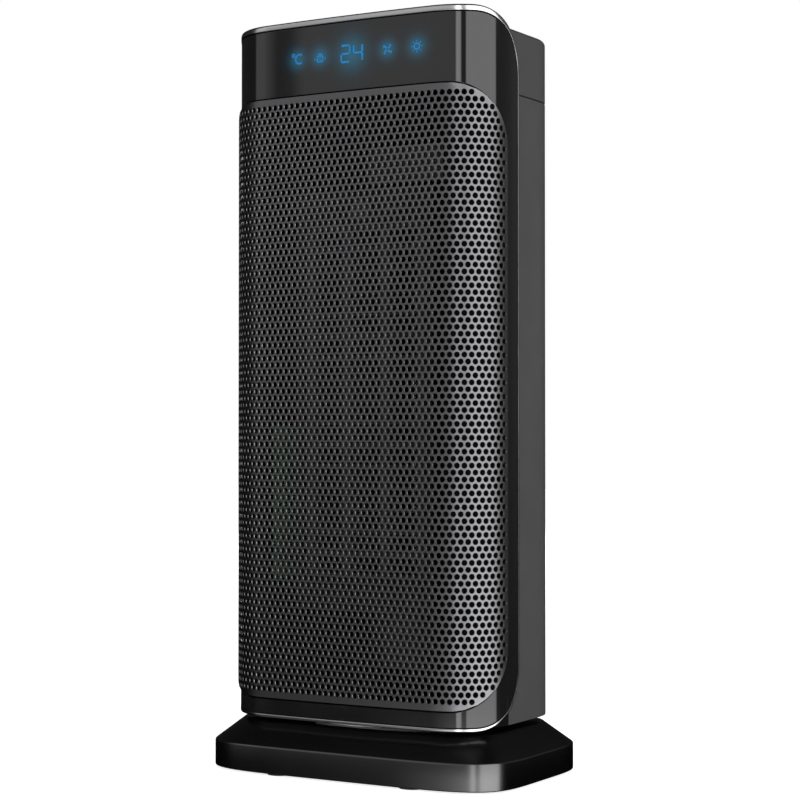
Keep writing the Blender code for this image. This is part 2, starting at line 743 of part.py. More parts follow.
# ---- turntable and its drive ----
def gear_outline(teeth, first, last, closing):
    # Involute teeth from index first to last, then the closing points of the rest of the outline.
    pitch = gear_module * teeth / 2
    base = pitch * cos(pressure_angle)
    tip = pitch + gear_addendum * gear_module
    root = pitch - gear_dedendum * gear_module
    half_tooth = pi / (2 * teeth) - tooth_backlash / 2 / pitch
    involute = tan(pressure_angle) - pressure_angle
    points = []
    for index in range(first, last + 1):
        middle = 2 * pi * index / teeth
        flank = []
        for step in range(3):
            radius = max(base, root) + (tip - max(base, root)) * step / 2
            roll = (max(radius / base, 1) ** 2 - 1) ** 0.5
            flank.append((radius, half_tooth + involute - (roll - atan2(roll, 1))))
        flank.insert(0, (root, flank[0][1]))
        for radius, angle in flank:
            points.append((radius * cos(middle - angle), radius * sin(middle - angle)))
        for radius, angle in reversed(flank):
            points.append((radius * cos(middle + angle), radius * sin(middle + angle)))
    return points + closing


def build_turntable():
    add_ring("turntable_ring", ring_inner, ring_outer, base_top + gap, housing_low - gap, nylon_white, steps=48)
    flange_top = housing_low - gap
    flange_low = base_top + hub_flange_gap
    tube_low = base_top - hub_drop
    bore = hub_radius - hub_wall
    hub = [(bore, flange_top), (hub_flange, flange_top), (hub_flange, flange_low), (hub_radius, flange_low),
           (hub_radius, tube_low), (bore, tube_low)]
    hub = add_turned("turntable_hub", hub, nylon_white, steps=40, ring=True)
    head_low = housing_low + floor_thickness + gap
    for index, (x, y) in enumerate(hub_screw_places()):
        drill = add_rod(f"hub_drill_{index + 1}", screw_shank + gap, flange_low - 2 * mm,
                        flange_top + 2 * mm, None, (x, y, 0), sides=12, collection=cutters)
        cut(hub, drill)
        add_screw(f"hub_screw_{index + 1}", (x, y, head_low), head_low - flange_low - hub_screw_end_gap)

    half_count = int(sector_span / (2 * pi / sector_teeth))
    rear_radius = hub_radius + sector_rear_wall
    root = gear_module * (sector_teeth / 2 - gear_dedendum)
    start = (half_count + 0.5) * 2 * pi / sector_teeth
    closing = [(root * cos(start), root * sin(start))]
    for step in range(13):
        angle = start + (2 * pi - 2 * start) * step / 12
        closing.append((rear_radius * cos(angle), rear_radius * sin(angle)))
    closing.append((root * cos(-start), root * sin(-start)))
    teeth = gear_outline(sector_teeth, -half_count, half_count, closing)
    add_plate("sector_gear", [teeth, circle(hub_radius + gap, 32)], gear_low, gear_top, nylon_white,
              rotation=(0, 0, -pi / 2))
    add_ring("retaining_washer", hub_radius + gap, washer_radius, gear_low - gap - washer_width,
             gear_low - gap, steel)

    pinion = gear_outline(pinion_teeth, 0, pinion_teeth - 1, [])
    place = (0, -gear_distance, 0)
    half_step = pi / pinion_teeth
    add_plate("osc_pinion", [pinion, circle(motor_shaft + gap, 16)], gear_low, gear_top, nylon_white, place,
              (0, 0, pi / 2 + half_step))
    motor_top = gear_low - 2 * gap
    motor_low = plate_top + gap
    motor = [(0, gear_top), (motor_shaft, gear_top), (motor_shaft, motor_top), (motor_radius, motor_top),
             (motor_radius, motor_low), (0, motor_low)]
    add_turned("osc_motor", motor, steel, place)


# ---- tip-over switch ----
def build_tip_switch():
    x, y = tip_place
    width, depth = tip_housing
    high = base_ceiling - gap
    low = high - tip_housing_height
    add_box("tip_switch", (x - width / 2, y - depth / 2, low), (x + width / 2, y + depth / 2, high),
            matte_black)
    collar_low = plate_top + gap + tip_travel
    rod_top = low - tip_engaged
    tip = tip_rod_end
    collar_top = collar_low + tip_collar_height
    rod = [(0, rod_top), (tip_rod, rod_top), (tip_rod, collar_top), (tip_collar, collar_top),
           (tip_collar, collar_low), (tip_rod, collar_low), (tip_rod, tip + tip_chamfer),
           (tip_rod - tip_chamfer, tip), (0, tip)]
    add_turned("tip_plunger", rod, nylon_white, (x, y, 0), steps=24)
    spring_low = collar_top + gap + spring_wire
    spring_high = low - gap - spring_wire
    per_turn = 10
    curve = bpy.data.curves.new("tip_spring", "CURVE")
    curve.dimensions = "3D"
    curve.bevel_depth = spring_wire
    curve.bevel_resolution = 0
    curve.use_fill_caps = True
    spline = curve.splines.new("POLY")
    total = spring_turns * per_turn
    spline.points.add(total)
    for i, point in enumerate(spline.points):
        angle = 2 * pi * i / per_turn
        height = spring_low + (spring_high - spring_low) * i / total
        point.co = (spring_radius * cos(angle), spring_radius * sin(angle), height, 1)
    spring = bpy.data.objects.new("tip_spring", curve)
    spring.location = (x, y, 0)
    curve.materials.append(steel)
    parts.objects.link(spring)


# ---- blower, duct, heater ----
def build_blower():
    x, y = blower_place
    wheel_low = duct_floor + duct_plate + blower_end_gap
    wheel_high = duct_ceiling - duct_plate - blower_end_gap
    middle = (wheel_low + wheel_high) / 2
    bore = shaft_radius + gap
    ring_hole = blower_radius - blade_depth - disc_rim
    discs = bmesh.new()
    for low, hole in ((wheel_low, bore), (middle, ring_hole), (wheel_high - disc_thickness, bore)):
        disc = extruded_outlines([circle(blower_radius, 36), circle(hole, 16)], low, low + disc_thickness)
        mesh = bpy.data.meshes.new("disc")
        disc.to_mesh(mesh)
        disc.free()
        discs.from_mesh(mesh)
        bpy.data.meshes.remove(mesh)
    wheel = add_mesh("blower_wheel", discs, matte_black, (x, y, 0))
    blades = bmesh.new()
    inner = blower_radius - blade_depth
    outer = blower_radius - blade_edge
    for i in range(blade_count):
        lean = 2 * pi * i / blade_count
        section = []
        for radius, swing in ((inner, 0), ((inner + outer) / 2, blade_middle_lean), (outer, blade_outer_lean)):
            section.append((radius, lean + swing))
        half = blade_thickness / 2
        one_side = [(r * cos(a - half / r), r * sin(a - half / r)) for r, a in section]
        other_side = [(r * cos(a + half / r), r * sin(a + half / r)) for r, a in reversed(section)]
        blade = extruded_outlines([one_side + other_side], wheel_low + blade_embed,
                                  wheel_high - blade_embed)
        mesh = bpy.data.meshes.new("blade")
        blade.to_mesh(mesh)
        blade.free()
        blades.from_mesh(mesh)
        bpy.data.meshes.remove(mesh)
    blade_set = add_mesh("blade_set", blades, None, (x, y, 0), collection=cutters)
    union = wheel.modifiers.new("blades", "BOOLEAN")
    union.operation = "UNION"
    union.solver = "EXACT"
    union.object = blade_set

    motor_top = duct_floor - gap
    motor_low = motor_top - fan_motor_height
    shaft_low = motor_low + shaft_overrun
    shaft_top = duct_ceiling + shaft_overrun
    add_rod("blower_shaft", shaft_radius, shaft_low, shaft_top, steel, (x, y, 0), sides=20)
    boss, shoulder = fan_motor_boss, fan_motor_shoulder
    motor = [(bore, motor_top), (boss, motor_top), (boss, motor_top - shoulder),
             (fan_motor_radius, motor_top - shoulder), (fan_motor_radius, motor_low + shoulder),
             (boss, motor_low + shoulder), (boss, motor_low), (bore, motor_low)]
    add_turned("fan_motor", motor, steel, (x, y, 0), ring=True)

    sleeve = bearing_radius + gap
    bearing_low = duct_ceiling - duct_plate - bearing_overlap
    bearing_high = bearing_low + bearing_height
    add_ring("top_bearing", bore, bearing_radius, bearing_low, bearing_high, steel, (x, y, 0), 24)
    add_ring("bearing_rubber", sleeve, sleeve + rubber_wall, bearing_low, bearing_high, rubber_black,
             (x, y, 0), 24)

    half = heater_half_width + duct_side_margin
    front = front_y + duct_front - duct_front_gap
    rear = inside_rear - foam_thickness - duct_rear_gap
    plate = rectangle(-half, half, front, rear, 3 * mm, 2)
    add_plate("motor_plate", [plate, circle(bore + 2 * mm, 20, x, y)], duct_floor, duct_floor + duct_plate,
              heat_resin)
    hole = sleeve + rubber_wall + gap
    add_plate("bearing_plate", [plate, circle(hole, 24, x, y)], duct_ceiling - duct_plate, duct_ceiling,
              heat_resin)
    return duct_floor + duct_plate + gap, duct_ceiling - duct_plate - gap


def ribbon(points, thickness):
    # Closed outline of a thin wall along an open line of points.
    left, right = [], []
    for i, (x, y) in enumerate(points):
        before = points[max(i - 1, 0)]
        after = points[min(i + 1, len(points) - 1)]
        along_x, along_y = after[0] - before[0], after[1] - before[1]
        length = hypot(along_x, along_y)
        nx, ny = -along_y / length * thickness / 2, along_x / length * thickness / 2
        left.append((x + nx, y + ny))
        right.append((x - nx, y - ny))
    return left + list(reversed(right))


def build_duct(low, high):
    x, y = blower_place
    side = heater_half_width - duct_joint_inset
    joint_y = heater_rear + gap + duct_joint_gap
    scroll = []
    for step in range(scroll_steps + 1):
        angle = scroll_start + (scroll_end - scroll_start) * step / scroll_steps
        radius = blower_radius + scroll_gap + scroll_growth * (scroll_start - angle)
        scroll.append((x + radius * cos(angle), y + radius * sin(angle)))
    scroll.append((side, joint_y))
    add_plate("scroll_wall", [ribbon(scroll, duct_wall)], low, high, heat_resin)
    tongue = [(-side, joint_y)]
    radius = blower_radius + tongue_gap
    for step in range(tongue_steps + 1):
        angle = tongue_start - tongue_step * step
        tongue.append((x + radius * cos(angle), y + radius * sin(angle)))
    add_plate("vortex_tongue", [ribbon(tongue, duct_wall)], low, high, heat_resin)

    half = heater_half_width
    outer = rectangle(-half, half, low, high)
    inner_x = half - heater_border
    inner_low = low + heater_end_border
    inner_high = high - heater_end_border
    window = rectangle(-inner_x, inner_x, inner_low, inner_high)
    add_wall_plate("heater_frame", [outer, window], heater_rear - heater_thickness, heater_rear, heat_resin)
    core_x = inner_x - gap
    core_low = inner_low + gap
    core_high = inner_high - gap
    cells = []
    cell_width = (2 * core_x - (core_columns + 1) * core_bar) / core_columns
    core_rows = int((core_high - core_low) / core_pitch)
    cell_step = (core_high - core_low - core_fin) / core_rows
    for column in range(core_columns):
        left = -core_x + core_bar + column * (cell_width + core_bar)
        for row in range(core_rows):
            bottom = core_low + core_fin + row * cell_step
            cells.append(rectangle(left, left + cell_width, bottom, bottom + cell_step - core_fin))
    middle = heater_rear - heater_thickness / 2
    core = rectangle(-core_x, core_x, core_low, core_high)
    add_wall_plate("ptc_core", [core] + cells, middle - core_thickness / 2, middle + core_thickness / 2,
                   aluminium)
    cutout_z = high - heater_end_border / 2
    cutout_y = heater_rear - heater_thickness - gap
    add_rod("thermal_cutout", cutout_radius, 0, cutout_height, steel, (0, cutout_y, cutout_z),
            (pi / 2, 0, 0), 24)
    add_rod("thermal_fuse", fuse_radius, -fuse_length / 2, fuse_length / 2, nylon_white,
            (fuse_place, cutout_y - fuse_radius, cutout_z), (0, pi / 2, 0), 16)


# ---- electronics ----
def build_electronics():
    guide_x, guide_depth, guide_z = light_guide_size
    curve_back = crown_radius * (1 - cos(crown_length / crown_radius))
    guide_front = front_y + panel_thickness + curve_back + guide_gap
    guide_rear = guide_front + guide_depth
    add_box("light_guide", (-guide_x / 2, guide_front, display_z - guide_z / 2),
            (guide_x / 2, guide_rear, display_z + guide_z / 2), light_clear)
    board_x, board_z = display_board_size
    board_front = guide_rear + gap
    board_rear = board_front + board_thickness
    board_low = cap_top - housing_wall - board_cap_gap - board_z
    add_box("display_board", (-board_x / 2, board_front, board_low),
            (board_x / 2, board_rear, board_low + board_z), board_green)
    buzzer_radius, buzzer_height = buzzer_size
    add_rod("buzzer", buzzer_radius, 0, buzzer_height, matte_black,
            (buzzer_place, board_rear + gap + buzzer_height, display_z), (pi / 2, 0, 0), 20)
    x, y, z = power_board_place[0], power_board_place[1], tower_z + power_board_place[2]
    width, height = power_board_size
    add_box("power_board", (x, y - width / 2, z), (x + board_thickness, y + width / 2, z + height),
            board_green)
    face = x + board_thickness + gap
    relay_x, relay_y, relay_z = relay_size
    relay_middle, relay_low = y + relay_place[0], z + relay_place[1]
    add_box("relay", (face, relay_middle - relay_y / 2, relay_low),
            (face + relay_x, relay_middle + relay_y / 2, relay_low + relay_z), nylon_white)
    add_rod("capacitor", capacitor_size[0], 0, capacitor_size[1], matte_black,
            (face, y + capacitor_place[0], z + capacitor_place[1]), (0, pi / 2, 0), 20)
    sensor_x, sensor_y, sensor_z = sensor_size
    sensor_left = sensor_inset - intake_width / 2
    sensor_rear = inside_rear - foam_thickness - sensor_foam_gap
    add_box("temperature_sensor", (sensor_left, sensor_rear - sensor_y, duct_ceiling + gap),
            (sensor_left + sensor_x, sensor_rear, duct_ceiling + gap + sensor_z), nylon_white)


build_front()
build_housing()
build_cap()
build_floor()
build_filter()
build_grip()
build_switch()
build_base()
build_turntable()
build_tip_switch()
duct_inside = build_blower()
build_duct(*duct_inside)
build_electronics()
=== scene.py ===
from math import cos, hypot, pi, radians, sin

import bmesh
import bpy
from mathutils import Matrix, Vector


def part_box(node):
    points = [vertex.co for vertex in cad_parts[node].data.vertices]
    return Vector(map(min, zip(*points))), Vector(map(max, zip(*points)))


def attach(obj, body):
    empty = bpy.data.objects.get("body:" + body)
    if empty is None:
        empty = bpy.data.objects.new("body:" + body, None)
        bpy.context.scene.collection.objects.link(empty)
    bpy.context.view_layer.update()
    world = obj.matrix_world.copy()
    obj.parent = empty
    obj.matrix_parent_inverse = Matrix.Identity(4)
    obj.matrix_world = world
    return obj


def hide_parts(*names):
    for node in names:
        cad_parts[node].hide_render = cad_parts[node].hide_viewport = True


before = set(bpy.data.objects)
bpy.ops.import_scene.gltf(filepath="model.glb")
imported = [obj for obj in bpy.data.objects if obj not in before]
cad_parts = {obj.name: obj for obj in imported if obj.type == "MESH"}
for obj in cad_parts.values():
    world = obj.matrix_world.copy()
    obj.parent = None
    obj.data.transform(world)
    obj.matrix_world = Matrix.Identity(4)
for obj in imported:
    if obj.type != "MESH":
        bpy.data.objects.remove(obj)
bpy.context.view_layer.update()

mm = 0.001
tiny = 0.001 * mm       # points nearer than this are one point
small = 0.01 * mm
flat = 0.999            # share of a normal along an axis from which a face lies flat on it
upright = 0.05          # and the share below which it stands upright
print("frame loaded")


# places and sizes read from the frame
panelLow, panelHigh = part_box("front_panel")
trimLow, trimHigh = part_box("trim_ring")
grilleLow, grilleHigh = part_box("front_grille")
housingLow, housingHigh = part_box("rear_housing")
capLow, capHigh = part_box("top_cap")
coverLow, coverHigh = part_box("base_cover")

front = {
    "cornerRadius": 40.5 * mm,      # plan radius where the front turns into the sides
    "crownSlope": radians(3),       # slope of the slight dome where that radius starts
    "outlineCorner": 40.5 * mm,     # radius of the front's outline, along the surface
    "panelThickness": 2.5 * mm,
    "crownSteps": 10, "cornerSteps": 26,
}
halfWidth = panelHigh.x
frontY = panelLow.y
towerLow = trimLow.z
towerTop = trimHigh.z
slope, cornerRadius = front["crownSlope"], front["cornerRadius"]
crownRadius = (halfWidth - cornerRadius * (1 - sin(slope))) / sin(slope)
crownEnd = crownRadius * slope
cornerEnd = crownEnd + cornerRadius * (pi / 2 - slope)
cornerDepth = crownRadius * (1 - cos(slope)) + cornerRadius * cos(slope)
panelEdge = cornerEnd + trimHigh.y - frontY - cornerDepth


def frontPoint(along, outward=0.0):
    # plan position and slope angle at a distance along the front from its middle
    length = abs(along)
    side = 1 if along >= 0 else -1
    if length < crownEnd:
        angle = length / crownRadius
        x, y = crownRadius * sin(angle), crownRadius * (1 - cos(angle))
    elif length < cornerEnd:
        angle = slope + (length - crownEnd) / cornerRadius
        x = halfWidth - cornerRadius * (1 - sin(angle))
        y = cornerDepth - cornerRadius * cos(angle)
    else:
        angle = pi / 2
        x, y = halfWidth, cornerDepth + length - cornerEnd
    return side * (x + outward * sin(angle)), frontY + y - outward * cos(angle), side * angle


# mesh helpers
def intoScene(name, data):
    obj = bpy.data.objects.new(name, data)
    bpy.context.scene.collection.objects.link(obj)
    return obj


def addObject(name, mesh, material, body, nodes=()):
    obj = intoScene(name, mesh)
    if material:
        mesh.materials.append(material)
    if nodes:
        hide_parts(*nodes)
    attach(obj, body)
    return obj


def meshFrom(bm, name):
    mesh = bpy.data.meshes.new(name)
    bm.to_mesh(mesh)
    bm.free()
    return mesh


def faceOutwards(bm):
    bmesh.ops.recalc_face_normals(bm, faces=bm.faces)
    if bm.calc_volume(signed=True) < 0:
        bmesh.ops.reverse_faces(bm, faces=bm.faces)


def evaluatedMesh(obj):
    return bpy.data.meshes.new_from_object(obj.evaluated_get(bpy.context.evaluated_depsgraph_get()))


def filledOutlines(outlines, low, high):
    # first outline is the edge, the others are holes; the plate lies in XY from low to high
    curve = bpy.data.curves.new("outline", "CURVE")
    curve.dimensions = "2D"
    curve.fill_mode = "BOTH"
    curve.extrude = (high - low) / 2
    for outline in outlines:
        spline = curve.splines.new("POLY")
        spline.points.add(len(outline) - 1)
        for point, (x, y) in zip(spline.points, outline):
            point.co = (x, y, 0, 1)
        spline.use_cyclic_u = True
    holder = intoScene("outline", curve)
    mesh = evaluatedMesh(holder)
    bm = bmesh.new()
    bm.from_mesh(mesh)
    bmesh.ops.remove_doubles(bm, verts=bm.verts, dist=tiny)
    bmesh.ops.translate(bm, verts=bm.verts, vec=(0, 0, (low + high) / 2))
    faceOutwards(bm)
    bpy.data.objects.remove(holder, do_unlink=True)
    bpy.data.curves.remove(curve)
    bpy.data.meshes.remove(mesh)
    return bm


def roundedRectangle(left, right, low, high, radius, steps=20):
    points = []
    centres = [(right - radius, low + radius, -90), (right - radius, high - radius, 0),
               (left + radius, high - radius, 90), (left + radius, low + radius, 180)]
    for x, y, start in centres:
        for step in range(steps + 1):
            angle = radians(start + 90 * step / steps)
            points.append((x + radius * cos(angle), y + radius * sin(angle)))
    return points


def evenNormals(obj):
    weighted = obj.modifiers.new("normals", "WEIGHTED_NORMAL")
    weighted.keep_sharp = True
    weighted.weight = 100


def roundEdges(obj, width, angle=40):
    bevel = obj.modifiers.new("round", "BEVEL")
    bevel.width = width
    bevel.segments = 2
    bevel.limit_method = "ANGLE"
    bevel.angle_limit = radians(angle)
    evenNormals(obj)


def applyModifiers(obj):
    mesh = evaluatedMesh(obj)
    obj.modifiers.clear()
    obj.data = mesh


def stations():
    # distances along the front at which a flat piece is creased
    crownSteps, cornerSteps = front["crownSteps"], front["cornerSteps"]
    right = [crownEnd * i / crownSteps for i in range(crownSteps)]
    span = cornerEnd - crownEnd
    right += [crownEnd + span * i / cornerSteps for i in range(cornerSteps + 1)]
    return [-s for s in reversed(right[1:])] + right


def bendRound(bm, name, flatFaces=True):
    # wraps a flat piece (along, height, outward) round the front, and its own normals with it
    flatSide = {}
    for face in bm.faces:
        if abs(face.normal.z) > flat:
            for vert in face.verts:
                flatSide[vert.index] = 1 if face.normal.z > 0 else -1
    vertNormal = {}
    for vert in bm.verts:
        if vert.index in flatSide:
            vertNormal[vert.index] = Vector((0, 0, flatSide[vert.index]))
        else:
            total = Vector()
            for face in vert.link_faces:
                total += face.normal * face.calc_area()
            vertNormal[vert.index] = total.normalized()
    loopNormals = []
    for face in bm.faces:
        isFlat = abs(face.normal.z) > flat
        isWall = abs(face.normal.z) < upright
        for loop in face.loops:
            index = loop.vert.index
            if isFlat:
                normal = Vector((0, 0, 1 if face.normal.z > 0 else -1))
            elif isWall and index in flatSide:
                normal = face.normal
            else:
                normal = vertNormal[index]
            angle = frontPoint(loop.vert.co.x)[2]
            side = Vector((cos(angle), sin(angle), 0)) * normal.x
            out = Vector((sin(angle), -cos(angle), 0)) * normal.z
            loopNormals.append(side + out + Vector((0, 0, normal.y)))
    for vert in bm.verts:
        x, y = frontPoint(vert.co.x, vert.co.z)[:2]
        vert.co = (x, y, vert.co.y)
    mesh = meshFrom(bm, name)
    mesh.shade_smooth()
    if flatFaces:
        mesh.normals_split_custom_set(loopNormals)
    else:
        mesh.set_sharp_from_angle(angle=grille["smoothTo"])
    return mesh


def creasedPlate(outlines, inner, outer, edge):
    # flat plate with rounded edges, creased where it will bend
    bm = filledOutlines(outlines, inner, outer)
    rim = [e for e in bm.edges if len(e.link_faces) == 2 and
           abs(e.link_faces[0].normal.dot(e.link_faces[1].normal)) < upright and
           abs(e.verts[0].co.z - e.verts[1].co.z) < small]
    if edge > 0:
        bmesh.ops.bevel(bm, geom=rim, offset=edge, segments=3, profile=0.5, affect="EDGES")
    for station in stations():
        everything = bm.verts[:] + bm.edges[:] + bm.faces[:]
        bmesh.ops.bisect_plane(bm, geom=everything, plane_co=(station, 0, 0), plane_no=(1, 0, 0),
                               dist=2 * tiny)
    bm.normal_update()
    spare = []      # edges left by the filling, which would show in the bend
    for item in bm.edges:
        if len(item.link_faces) == 2 and abs(item.verts[0].co.x - item.verts[1].co.x) > small:
            one, two = item.link_faces
            if abs(one.normal.z) > flat and one.normal.dot(two.normal) > flat:
                spare.append(item)
    bmesh.ops.dissolve_edges(bm, edges=spare, use_verts=False, use_face_split=False)
    bm.verts.index_update()
    bm.normal_update()
    return bm


# shader helpers
def newMaterial(name, colour, roughness, **sockets):
    material = bpy.data.materials.new(name)
    material.use_nodes = True
    shader = material.node_tree.nodes["Principled BSDF"]
    shader.inputs["Base Color"].default_value = (*colour, 1)
    shader.inputs["Roughness"].default_value = roughness
    for socket, value in sockets.items():
        shader.inputs[socket.replace("_", " ")].default_value = value
    return material, material.node_tree, shader


def newGroup(name, inputs, outputs):
    tree = bpy.data.node_groups.new(name, "ShaderNodeTree")
    for label, kind, value in inputs:
        socket = tree.interface.new_socket(label, in_out="INPUT", socket_type=kind)
        if value is not None:
            socket.default_value = value
    for label, kind in outputs:
        tree.interface.new_socket(label, in_out="OUTPUT", socket_type=kind)
    return tree, tree.nodes.new("NodeGroupInput"), tree.nodes.new("NodeGroupOutput")


def addNode(tree, kind, links=None, **settings):
    node = tree.nodes.new(kind)
    for key, value in settings.items():
        setattr(node, key, value)
    for key, value in (links or {}).items():
        if isinstance(value, bpy.types.NodeSocket):
            tree.links.new(value, node.inputs[key])
        else:
            node.inputs[key].default_value = value
    return node


def calculate(tree, operation, *values):
    return addNode(tree, "ShaderNodeMath", dict(enumerate(values)), operation=operation).outputs[0]


def combine(tree, operation, *values):
    # for colours and directions
    return addNode(tree, "ShaderNodeVectorMath", dict(enumerate(values)), operation=operation).outputs[0]


def remap(tree, value, low, high, newLow=0.0, newHigh=1.0):
    return addNode(tree, "ShaderNodeMapRange", {"Value": value, "From Min": low, "From Max": high,
                                                "To Min": newLow, "To Max": newHigh}).outputs[0]


def ownPlace(tree):
    # a point's place in the piece's own coordinates
    return addNode(tree, "ShaderNodeTexCoord").outputs["Object"]


def unevenness(tree, where, scale, detail, roughness=0.5):
    return addNode(tree, "ShaderNodeTexNoise", {"Vector": where, "Scale": scale, "Detail": detail,
                                                "Roughness": roughness}).outputs["Fac"]


def makeGrainGroup():
    # fine moulded texture: roughness that varies a little and a height for bump
    tree, inside, outside = newGroup(
        "mouldedGrain",
        [("Scale", "NodeSocketFloat", 900.0), ("Roughness", "NodeSocketFloat", 0.4),
         ("Spread", "NodeSocketFloat", 0.08)],
        [("Roughness", "NodeSocketFloat"), ("Height", "NodeSocketFloat")])
    where = ownPlace(tree)
    fine = unevenness(tree, where, inside.outputs["Scale"], 3.0)
    broad = unevenness(tree, where, 14.0, 4.0, 0.6)
    centred = calculate(tree, "SUBTRACT", broad, 0.5)
    scaled = calculate(tree, "MULTIPLY", centred, inside.outputs["Spread"])
    total = calculate(tree, "ADD", scaled, inside.outputs["Roughness"])
    tree.links.new(total, outside.inputs["Roughness"])
    tree.links.new(fine, outside.inputs["Height"])
    return tree


def makeEdgeGroup():
    # paler, slightly worn edges and cloudy colour over broad areas
    tree, inside, outside = newGroup(
        "edgeWear",
        [("Colour", "NodeSocketColor", (0.5, 0.5, 0.5, 1)), ("Worn", "NodeSocketColor", (0.6, 0.6, 0.6, 1)),
         ("Amount", "NodeSocketFloat", 0.5)],
        [("Colour", "NodeSocketColor"), ("Mask", "NodeSocketFloat")])
    pointed = addNode(tree, "ShaderNodeNewGeometry").outputs["Pointiness"]
    sharpness = remap(tree, pointed, 0.53, 0.62)
    where = ownPlace(tree)
    patches = remap(tree, unevenness(tree, where, 60.0, 5.0), 0.35, 0.65)
    both = calculate(tree, "MULTIPLY", sharpness, patches)
    mask = calculate(tree, "MULTIPLY", both, inside.outputs["Amount"])
    clouds = remap(tree, unevenness(tree, where, 9.0, 3.0), 0, 1, 0.92, 1.08)
    toned = combine(tree, "MULTIPLY", inside.outputs["Colour"], clouds)
    mix = addNode(tree, "ShaderNodeMix", {"Factor": mask, "A": toned, "B": inside.outputs["Worn"]},
                  data_type="RGBA")
    tree.links.new(mix.outputs["Result"], outside.inputs["Colour"])
    tree.links.new(mask, outside.inputs["Mask"])
    return tree


def makeHaloGroup():
    # soft round glow about one place, in the piece's own coordinates
    tree, inside, outside = newGroup(
        "haloSpot",
        [("Place", "NodeSocketVector", (0, 0, 0)), ("Radius", "NodeSocketFloat", 0.01)],
        [("Glow", "NodeSocketFloat")])
    gap = addNode(tree, "ShaderNodeVectorMath", {0: ownPlace(tree), 1: inside.outputs["Place"]},
                  operation="DISTANCE")
    share = calculate(tree, "DIVIDE", gap.outputs["Value"], inside.outputs["Radius"])
    squared = calculate(tree, "POWER", share, 2.0)
    negative = calculate(tree, "MULTIPLY", squared, -1.0)
    falloff = calculate(tree, "EXPONENT", negative)
    tree.links.new(falloff, outside.inputs["Glow"])
    return tree


grainGroup = makeGrainGroup()
edgeGroup = makeEdgeGroup()
haloGroup = makeHaloGroup()


def addGroup(tree, group, values):
    node = tree.nodes.new("ShaderNodeGroup")
    node.node_tree = group
    for key, value in values.items():
        node.inputs[key].default_value = value
    return node


def mouldedMaterial(name, look):
    # plastic, rubber or painted metal with grain, worn edges and uneven gloss
    material, tree, shader = newMaterial(name, look["colour"], look["roughness"],
                                         Metallic=look.get("metallic", 0.0),
                                         Specular_IOR_Level=look.get("specular", 0.5))
    grain = addGroup(tree, grainGroup, {"Scale": look["grain"], "Roughness": look["roughness"],
                                        "Spread": look["spread"]})
    wear = addGroup(tree, edgeGroup, {"Colour": (*look["colour"], 1), "Worn": (*look["worn"], 1),
                                      "Amount": look["wear"]})
    bump = addNode(tree, "ShaderNodeBump", {"Height": grain.outputs["Height"], "Strength": look["bump"],
                                            "Distance": 0.1 * mm})
    tree.links.new(wear.outputs["Colour"], shader.inputs["Base Color"])
    tree.links.new(grain.outputs["Roughness"], shader.inputs["Roughness"])
    tree.links.new(bump.outputs["Normal"], shader.inputs["Normal"])
    return material


